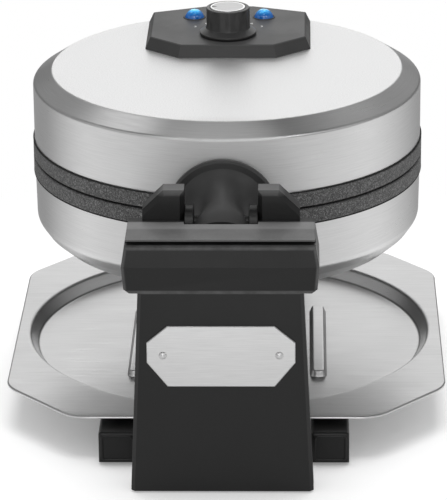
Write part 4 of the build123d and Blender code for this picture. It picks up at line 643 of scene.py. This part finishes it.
def rounded_outline(corners, radius, steps, between):
    """A closed outline through the corners, anticlockwise, each rounded by an arc that touches both sides.

    Returns the points and the outward direction at each. between counts the points on each straight side.
    """
    corners = np.asarray(corners, float)
    into = corners - np.roll(corners, 1, axis=0)
    into /= np.linalg.norm(into, axis=1, keepdims=True)
    out = np.roll(into, -1, axis=0)
    turn = np.arctan2(into[:, 0] * out[:, 1] - into[:, 1] * out[:, 0], (into * out).sum(axis=1))
    start = corners - into * (radius * np.tan(turn / 2))[:, None]
    normal = np.stack([into[:, 1], -into[:, 0]], axis=1)
    hub = start - normal * radius
    share = np.linspace(0.0, 1.0, steps)
    swing = np.arctan2(normal[:, 1], normal[:, 0])[:, None] + turn[:, None] * share
    facing = np.stack([np.cos(swing), np.sin(swing)], axis=-1)
    arcs = hub[:, None, :] + radius * facing
    along = np.linspace(0.0, 1.0, between + 2)[1:-1, None]
    ends = np.roll(arcs[:, :1], -1, axis=0)
    sides = arcs[:, -1:] + (ends - arcs[:, -1:]) * along
    side_facing = np.repeat(facing[:, -1:], between, axis=1)
    points = np.concatenate([arcs, sides], axis=1).reshape(-1, 2)
    return points, np.concatenate([facing, side_facing], axis=1).reshape(-1, 2)


def arc_between(start_angle, end_angle, steps):
    """Cosines and sines of angles between two ends, in degrees."""
    angle = np.radians(np.linspace(start_angle, end_angle, steps))
    return np.cos(angle), np.sin(angle)


def level_row(places, height):
    """One row of a grid: places in plan, all at one height."""
    return np.column_stack([places, np.full(len(places), height)])


def hand(side):
    """The word for a side: -1 is left, 1 is right."""
    return "right" if side > 0 else "left"


def bevelled(node, body, slot, width):
    """A merged copy of a model's piece with its hard edges rounded over, which stands for that piece."""
    merge_within, flat_below, hard_above = 0.000002, math.radians(0.4), math.radians(15.0)
    mesh = nodes[node].data.copy()
    mesh.name = node + " rounded"
    work = bmesh.new()
    work.from_mesh(mesh)
    bmesh.ops.remove_doubles(work, verts=work.verts, dist=merge_within)
    bmesh.ops.dissolve_limit(
        work, angle_limit=flat_below, verts=work.verts, edges=work.edges, delimit={"MATERIAL"}
    )
    work.to_mesh(mesh)
    work.free()
    mesh.shade_smooth()
    piece = bpy.data.objects.new(node + "_rounded", mesh)
    bpy.context.scene.collection.objects.link(piece)
    edge = piece.modifiers.new("rounded edges", "BEVEL")
    edge.width = width
    edge.segments = 3
    edge.limit_method = "ANGLE"
    edge.angle_limit = hard_above
    edge.use_clamp_overlap = True
    even = piece.modifiers.new("flat faces stay flat", "WEIGHTED_NORMAL")
    even.mode = "FACE_AREA"
    even.weight = 80
    return finish_piece(piece, body, slot, (node,))


def tray_surface():
    """Pressed tray: a cut-cornered rim whose lip rolls down into a round well.

    Columns run round the outline. Rows run inwards: the turned-down edge's quarter round, the flat rim from
    the outline to the well's circle at the same bearing, an arc over the lip, the sloping wall, an arc at
    its foot, and the floor.
    """
    half, near, far = TRAY_HIGH[0], TRAY_LOW[1], TRAY_HIGH[1]
    near_cut, near_side, far_cut, far_side = 40 * MM, 43 * MM, 32 * MM, 38 * MM
    corner_r, edge_r, lip_r, foot_r = 22 * MM, 1.0 * MM, 3.4 * MM, 2.2 * MM
    skirt, hub_r = 1.4 * MM, 6 * MM
    corners = [
        (-half + near_cut, near), (half - near_cut, near), (half, near + near_side), (half, far - far_side),
        (half - far_cut, far), (-half + far_cut, far), (-half, far - far_side), (-half, near + near_side),
    ]
    outline, facing = rounded_outline(corners, corner_r, steps=11, between=22)
    bearing = outline / np.linalg.norm(outline, axis=1, keepdims=True)
    rows = [level_row(outline, TRAY_RIM_Z - skirt)]
    for cosine, sine in zip(*arc_between(0.0, 90.0, 9)):
        rows.append(level_row(outline - facing * (edge_r * (1 - cosine)), TRAY_RIM_Z - edge_r * (1 - sine)))
    slope = math.atan2(TRAY_RIM_Z - TRAY_FLOOR_Z, WELL_TOP_R - WELL_FLOOR_R)
    lip_start = WELL_TOP_R + lip_r * math.tan(slope / 2)
    foot_end = WELL_FLOOR_R - foot_r * math.tan(slope / 2)
    rim_start = outline - facing * edge_r
    rim_end = bearing * lip_start
    for share in (0.15, 0.35, 0.55, 0.75, 0.9):
        rows.append(level_row(rim_start + (rim_end - rim_start) * share, TRAY_RIM_Z))
    swing = np.linspace(0.0, slope, 11)
    lip = np.column_stack([lip_start - lip_r * np.sin(swing), TRAY_RIM_Z - lip_r * (1 - np.cos(swing))])
    foot = np.column_stack([foot_end + foot_r * np.sin(swing), TRAY_FLOOR_Z + foot_r * (1 - np.cos(swing))])
    middle = (lip[-1:] + foot[-1:]) / 2
    floor = level_row(np.linspace(foot_end, hub_r, 14)[1:], TRAY_FLOOR_Z)
    for reach, height in np.vstack([lip, middle, foot[::-1], floor]):
        rows.append(level_row(bearing * reach, height))
    piece = grid_piece("tray_pressing", np.stack(rows), cap_last=True)
    sheet = piece.modifiers.new("sheet", "SOLIDIFY")
    sheet.thickness = TRAY_SHEET
    sheet.offset = -1.0
    finish_piece(piece, "tray", "tray_steel", ("drip_tray",))


def tray_rib(side):
    """A pressed rib on the tray's floor: a rounded oblong whose edge rises in a smooth step to a flat top.

    Columns run round the oblong. Rows step inwards from its outline while the height follows a half cosine.
    """
    inner, outer = 47.2 * MM, 57.4 * MM
    near, far, height = -60.0 * MM, 43.6 * MM, 3.5 * MM
    corner_r, step_w, sunk = 3.6 * MM, 2.0 * MM, 0.1 * MM
    left, right = sorted((side * inner, side * outer))
    corners = [(left, near), (right, near), (right, far), (left, far)]
    outline, facing = rounded_outline(corners, corner_r, steps=9, between=3)
    share = np.concatenate([np.linspace(0.0, 1.0, 9), [1.5]])
    lift_by = height * (1 - np.cos(np.clip(share, 0, 1) * math.pi)) / 2 - sunk
    rows = outline[None] - facing[None] * (share * step_w)[:, None, None]
    tall = np.broadcast_to(TRAY_FLOOR_Z + lift_by[:, None], rows.shape[:2])
    piece = grid_piece("tray_rib_" + hand(side), np.dstack([rows, tall[..., None]]), cap_last=True)
    finish_piece(piece, "tray", "tray_steel")


def joint_ring(name, body, height):
    """A thin dark joint between a shell and its band: a small round section carried round the head."""
    section, reach = 0.38 * MM, 111.3 * MM
    angle = np.linspace(0.0, 2 * math.pi, 9, endpoint=False)
    profile = np.column_stack([reach - section * np.cos(angle), height + section * np.sin(angle)])
    piece = grid_piece(name, turned_points(profile, (0.0, 0.0), turns=256), close_rows=True)
    finish_piece(piece, body, "foot_rubber")


def fluted_knob():
    """Knob with a low skirt and shallow upright flats: the wall's radius dips by a cosine of the angle."""
    foot, top = KNOB_FOOT_Z, KNOB_TOP_Z
    skirt_r, grip_r, recess_r, bore_r = 16.5 * MM, 12.7 * MM, 10.3 * MM, 3.4 * MM
    skirt_edge, skirt_top, recess_floor = foot + 1.7 * MM, foot + 3.7 * MM, top - 1.2 * MM
    edge_r, root_r, crown_r, recess_edge = 0.4 * MM, 0.7 * MM, 0.8 * MM, 0.3 * MM
    flats, dip = 13, 0.55 * MM
    cosines, sines = arc_between(0.0, 90.0, 6)
    skirt_round = np.column_stack([skirt_r - edge_r * (1 - cosines), skirt_edge - edge_r * (1 - sines)])
    root = np.column_stack([grip_r + root_r * (1 - sines), skirt_top + root_r * (1 - cosines)])
    crown = np.column_stack([grip_r - crown_r * (1 - cosines), top - crown_r * (1 - sines)])
    profile = np.vstack([
        [[bore_r, foot], [skirt_r - 0.5 * MM, foot], [skirt_r, foot + 0.4 * MM]],
        skirt_round,
        root,
        [[grip_r, foot + share * (top - foot)] for share in (0.40, 0.55, 0.70, 0.85)],
        crown,
        [[recess_r + recess_edge, top], [recess_r, top - recess_edge], [recess_r, recess_floor]],
        [[bore_r, recess_floor]],
    ])

    def flutes(angle, height):
        """Flats on the wall only, fading out at the skirt and towards the crown."""
        fade = np.clip((height - skirt_top - 1.0 * MM) / (1.5 * MM), 0, 1)
        fade = fade * np.clip((top - 0.2 * MM - height) / (1.2 * MM), 0, 1)
        return -dip * fade * (0.5 - 0.5 * np.cos(flats * angle)) ** 0.7

    piece = grid_piece("knob_grip", turned_points(profile, (KNOB_X, KNOB_Y), turns=216, wave=flutes))
    finish_piece(piece, "knob", "knob_gloss", ("control_knob",))


def lens_lip(side):
    """A raised dark lip round a lens: a half-round section carried round it."""
    lip_r, half_w, height, sunk = 6.3 * MM, 0.45 * MM, 0.5 * MM, 0.05 * MM
    cosines, sines = arc_between(0.0, 180.0, 9)
    profile = np.column_stack([lip_r + half_w * cosines, PANEL_TOP_Z - sunk + height * sines])
    middle = middle_of("power_lens" if side < 0 else "ready_lens")
    piece = grid_piece("lens_lip_" + hand(side), turned_points(profile, middle, turns=64))
    finish_piece(piece, "lid", "panel_grey")


def dial_number(text, bearing):
    """A small plain number printed beside the knob, at a bearing in degrees from the user's side."""
    reach, size, print_t, clear = 24.0 * MM, 3.4 * MM, 0.02 * MM, 0.03 * MM
    curve = bpy.data.curves.new("dial " + text, "FONT")
    curve.body = text
    curve.size = size
    curve.align_x = "CENTER"
    curve.align_y = "CENTER"
    curve.extrude = print_t
    drawn = bpy.data.objects.new("dial drawing", curve)
    bpy.context.scene.collection.objects.link(drawn)
    bpy.context.view_layer.update()
    mesh = bpy.data.meshes.new_from_object(drawn.evaluated_get(bpy.context.evaluated_depsgraph_get()))
    bpy.data.objects.remove(drawn)
    turn = math.radians(bearing)
    place = (KNOB_X + reach * math.sin(turn), KNOB_Y - reach * math.cos(turn), PANEL_TOP_Z + clear)
    mesh.transform(Matrix.Translation(Vector(place)))
    piece = bpy.data.objects.new("dial_number_" + text, mesh)
    bpy.context.scene.collection.objects.link(piece)
    finish_piece(piece, "lid", "panel_grey").data.materials[0] = dial_print


def rail_end_frame(side):
    """A raised border on a rail's front face: a half-round section carried round an upright oblong."""
    inner, outer, bottom = 50.0 * MM, 67.0 * MM, 3.2 * MM
    top, corner_r = RAIL_TOP_Z - 2.0 * MM, 2.0 * MM
    half_w, height, sunk = 0.8 * MM, 0.55 * MM, 0.05 * MM
    left, right = sorted((side * inner, side * outer))
    corners = [(left, bottom), (right, bottom), (right, top), (left, top)]
    outline, facing = rounded_outline(corners, corner_r, steps=6, between=2)
    rows = []
    for cosine, sine in zip(*arc_between(0.0, 180.0, 9)):
        spot = outline + facing * (half_w * cosine)
        depth = np.full(len(spot), RAIL_FRONT_Y + sunk - height * sine)
        rows.append(np.column_stack([spot[:, 0], depth, spot[:, 1]]))
    finish_piece(grid_piece("rail_frame_" + hand(side), np.stack(rows)), "base", "base_black")


tray_surface()
for side in (-1, 1):
    tray_rib(side)
    rail_end_frame(side)
    lens_lip(side)
joint_ring("upper_band_joint", "lid", SEAM_Z + JOINT_FROM_SEAM)
joint_ring("lower_band_joint", "head", SEAM_Z - JOINT_FROM_SEAM)
fluted_knob()
for text, bearing in (("1", -146.0), ("2", -126.0), ("3", 126.0), ("4", 146.0)):
    dial_number(text, bearing)
bevelled("handle_back", "handle", "handle_black", 1.0 * MM)
bevelled("handle_front_cover", "handle", "handle_black", 1.2 * MM)
bevelled("control_panel", "lid", "panel_grey", 0.7 * MM)
bevelled("base_frame", "base", "base_black", 0.9 * MM)
bevelled("handle_spacers", "handle", "handle_black", 0.6 * MM)
bevelled("handle_neck", "lid", "handle_black", 0.6 * MM).data.materials[0] = neck_finish


# Floor, studio, lamp and camera

# What the metal mirrors: levels of the studio's walls, its ceiling and a pale belt in front, and soft
# patches as (direction, angle of the full part, angle where it ends, level)
WALL_LEVEL = 0.26
CEILING_LEVEL = 0.07
BELT_LEVEL = 0.62
BELT_HEIGHTS = (0.12, 0.26, 0.50, 0.62)  # a direction's Z where it starts, is full, starts to fade, and ends
EVEN_LEVEL = 0.78  # what matt surfaces are lit by
BACKDROP = ((0.0, 0.93, 0.40), 15.0, 24.0, 1.32)
SOFTBOXES = (
    ((-0.44, 0.30, 0.85), 7.0, 15.0, 1.10),
    ((0.50, 0.42, 0.76), 8.0, 20.0, 0.40),
    ((-0.35, -0.75, 0.60), 10.0, 22.0, 0.9),
    ((0.0, 0.55, 0.83), 7.0, 13.0, 1.6),
    ((0.0, -1.0, 0.14), 9.0, 24.0, 1.3),
    ((0.0, -0.36, 0.93), 5.0, 12.0, 1.6),
    ((0.0, -0.80, 0.60), 5.0, 11.0, 3.6),
    ((0.48, -0.64, 0.60), 5.0, 13.0, 2.6),
)
WHITE = (1.0, 1.0, 1.0, 1.0)
WORKTOP_TONE = 0.97


def worktop_mesh():
    """A disc whose rings lie closer together towards its middle: their radii are squares of even shares."""
    outer_r, ring_count, turn_count = 6.0, 39, 96
    rings = np.linspace(0.0, 1.0, ring_count + 1)[1:] ** 2 * outer_r
    turns = np.linspace(0.0, 2 * math.pi, turn_count, endpoint=False)
    reach, angle = np.meshgrid(rings, turns, indexing="ij")
    points = np.stack([reach * np.cos(angle), reach * np.sin(angle), np.zeros_like(reach)], axis=-1)
    points = np.vstack([points.reshape(-1, 3), [[0.0, 0.0, 0.0]]])
    index = np.arange(reach.size).reshape(reach.shape)
    across = np.roll(index, -1, axis=1)
    quads = np.stack([index[:-1], index[1:], across[1:], across[:-1]], axis=-1).reshape(-1, 4)
    hub = np.full(turns.size, len(points) - 1)
    fan = np.stack([hub, index[0], across[0]], axis=-1)
    mesh = bpy.data.meshes.new("worktop")
    mesh.from_pydata(points.tolist(), [], quads.tolist() + fan.tolist())
    return mesh


def worktop_in_metal(tree, far, parts):
    """How bright the worktop looks in metal: dimmest behind and to the left, bright in a patch ahead."""
    behind = calc(tree, "DIVIDE", parts["Y"], calc(tree, "MAXIMUM", far, 0.01))
    dim_left = ramp(tree, behind, -0.1, 0.75, 0.84, 0.05)
    dim_right = ramp(tree, behind, -0.05, 0.85, 0.88, 0.27)
    sideways = ramp(tree, parts["X"], -0.1, 0.1)
    level = calc(tree, "MULTIPLY_ADD", sideways, calc(tree, "SUBTRACT", dim_right, dim_left), dim_left)
    level = calc(tree, "MINIMUM", level, ramp(tree, behind, -0.9, -0.1, 0.60, 0.88))
    ahead = shader(tree, "VectorMath", {"operation": "DISTANCE"}, Vector=place_in_piece(tree))
    put(tree, ahead.inputs[1], (0.0, -0.50, 0.0))
    patch = ramp(tree, ahead.outputs["Value"], 0.17, 0.05, 0.3, 1.3, smooth=True)
    return calc(tree, "MAXIMUM", level, patch)


def make_floor():
    """A white worktop that holds the cooker's shadow near it and is drawn plain white farther out."""
    mesh = worktop_mesh()
    worktop = bpy.data.objects.new("worktop", mesh)
    bpy.context.scene.collection.objects.link(worktop)
    material, tree, body = new_material("white worktop")
    far = shader(tree, "VectorMath", {"operation": "LENGTH"}, Vector=place_in_piece(tree)).outputs["Value"]
    mirrored = worktop_in_metal(tree, far, place_parts(tree))
    rays = tree.nodes.new("ShaderNodeLightPath").outputs
    metal = calc(tree, "MAXIMUM", rays["Is Glossy Ray"], rays["Is Transmission Ray"])
    dimmer = calc(tree, "SUBTRACT", mirrored, WORKTOP_TONE)
    tone = calc(tree, "MULTIPLY_ADD", metal, dimmer, WORKTOP_TONE)
    colour = shader(tree, "CombineColor", Red=tone, Green=tone, Blue=tone).outputs[0]
    put(tree, body.inputs["Base Color"], colour)
    put(tree, body.inputs["Roughness"], 0.9)
    put(tree, body.inputs["Specular IOR Level"], 0.0)
    strength = calc(tree, "MULTIPLY_ADD", metal, calc(tree, "SUBTRACT", mirrored, 1.0), 1.0)
    glow = shader(tree, "Emission", Color=WHITE, Strength=strength)
    shadow_r, white_r, least = 0.12, 0.33, 0.15
    share = ramp(tree, far, shadow_r, white_r, least, 1.0, smooth=True)
    mix = mix_surfaces(tree, share, body.outputs[0], glow.outputs[0])
    put(tree, tree.nodes["Material Output"].inputs["Surface"], mix)
    mesh.materials.append(material)


def glow_patch(tree, way, middle, inside, outside, level):
    """A soft-edged bright patch of the studio: full within one angle of its middle and gone past another."""
    near = shader(tree, "VectorMath", {"operation": "DOT_PRODUCT"}, Vector=way)
    near.inputs[1].default_value = Vector(middle).normalized()
    edge, core = math.cos(math.radians(outside)), math.cos(math.radians(inside))
    return ramp(tree, near.outputs["Value"], edge, core, 0.0, level, smooth=True)


def make_world():
    """A studio: even light for matt surfaces, and for mirror-like ones dark walls with pale softboxes.

    The camera sees plain white, and so do metal and glass where the white backdrop stands behind the cooker.
    """
    world = bpy.data.worlds.new("studio")
    bpy.context.scene.world = world
    world.use_nodes = True
    tree = world.node_tree
    tree.nodes.clear()
    way = tree.nodes.new("ShaderNodeTexCoord").outputs["Generated"]
    aim = shader(tree, "SeparateXYZ", Vector=way).outputs
    up = aim["Z"]
    studio = ramp(tree, up, 0.45, 0.93, WALL_LEVEL, CEILING_LEVEL, smooth=True)
    studio = calc(tree, "MULTIPLY", studio, ramp(tree, up, 0.02, 0.36, 0.30, 1.0))
    for patch in SOFTBOXES + (BACKDROP,):
        studio = calc(tree, "MAXIMUM", studio, glow_patch(tree, way, *patch))
    belt = within(tree, up, *BELT_HEIGHTS, smooth=True)
    belt = calc(tree, "MULTIPLY", belt, ramp(tree, aim["Y"], 0.25, -0.1, 0.0, BELT_LEVEL, smooth=True))
    studio = calc(tree, "MAXIMUM", studio, belt)
    rays = tree.nodes.new("ShaderNodeLightPath").outputs
    metal = calc(tree, "MAXIMUM", rays["Is Glossy Ray"], rays["Is Transmission Ray"])
    seen = shader(tree, "Background", Color=WHITE, Strength=studio).outputs[0]
    even = shader(tree, "Background", Color=WHITE, Strength=EVEN_LEVEL).outputs[0]
    plain = shader(tree, "Background", Color=WHITE, Strength=1.0).outputs[0]
    lit = mix_surfaces(tree, metal, even, seen)
    drawn = mix_surfaces(tree, rays["Is Camera Ray"], lit, plain)
    put(tree, tree.nodes.new("ShaderNodeOutputWorld").inputs["Surface"], drawn)


def overhead_panel():
    """A soft square lamp high above the cooker that metal doesn't mirror."""
    place, aim, side, power = Vector((0.0, 0.25, 1.5)), Vector((0.0, 0.0, 0.1)), 1.1, 17.0
    light = bpy.data.lights.new("overhead panel", "AREA")
    light.shape = "RECTANGLE"
    light.size = side
    light.size_y = side
    light.energy = power
    lamp = bpy.data.objects.new("overhead panel", light)
    lamp.rotation_euler = (aim - place).to_track_quat("-Z", "Y").to_euler()
    lamp.location = place
    lamp.visible_glossy = False
    bpy.context.scene.collection.objects.link(lamp)


def make_camera():
    """The camera, at the place and turn that match the picture's perspective."""
    place = Vector((0.0440, -1.7676, 0.7492))
    yaw, down, roll = 0.0265, 0.3656, -0.0098
    focal_in_pixels, picture_h, sensor = 3241.19, 500, 24.0
    forward = Vector((-math.sin(yaw) * math.cos(down), math.cos(yaw) * math.cos(down), -math.sin(down)))
    right = Vector((math.cos(yaw), math.sin(yaw), 0.0))
    up = right.cross(forward)
    turned_right = math.cos(roll) * right + math.sin(roll) * up
    turned_up = -math.sin(roll) * right + math.cos(roll) * up
    view = bpy.data.cameras.new("view")
    view.sensor_fit = "VERTICAL"
    view.sensor_height = sensor
    view.lens = focal_in_pixels / picture_h * sensor
    view.clip_start = 0.05
    view.clip_end = 50.0
    view.dof.use_dof = False
    camera = bpy.data.objects.new("view", view)
    turn = Matrix((turned_right, turned_up, -forward)).transposed()
    camera.matrix_world = Matrix.Translation(place) @ turn.to_4x4()
    bpy.context.scene.collection.objects.link(camera)
    bpy.context.scene.camera = camera


make_floor()
make_world()
overhead_panel()
make_camera()
bpy.context.scene.view_settings.view_transform = "Standard"
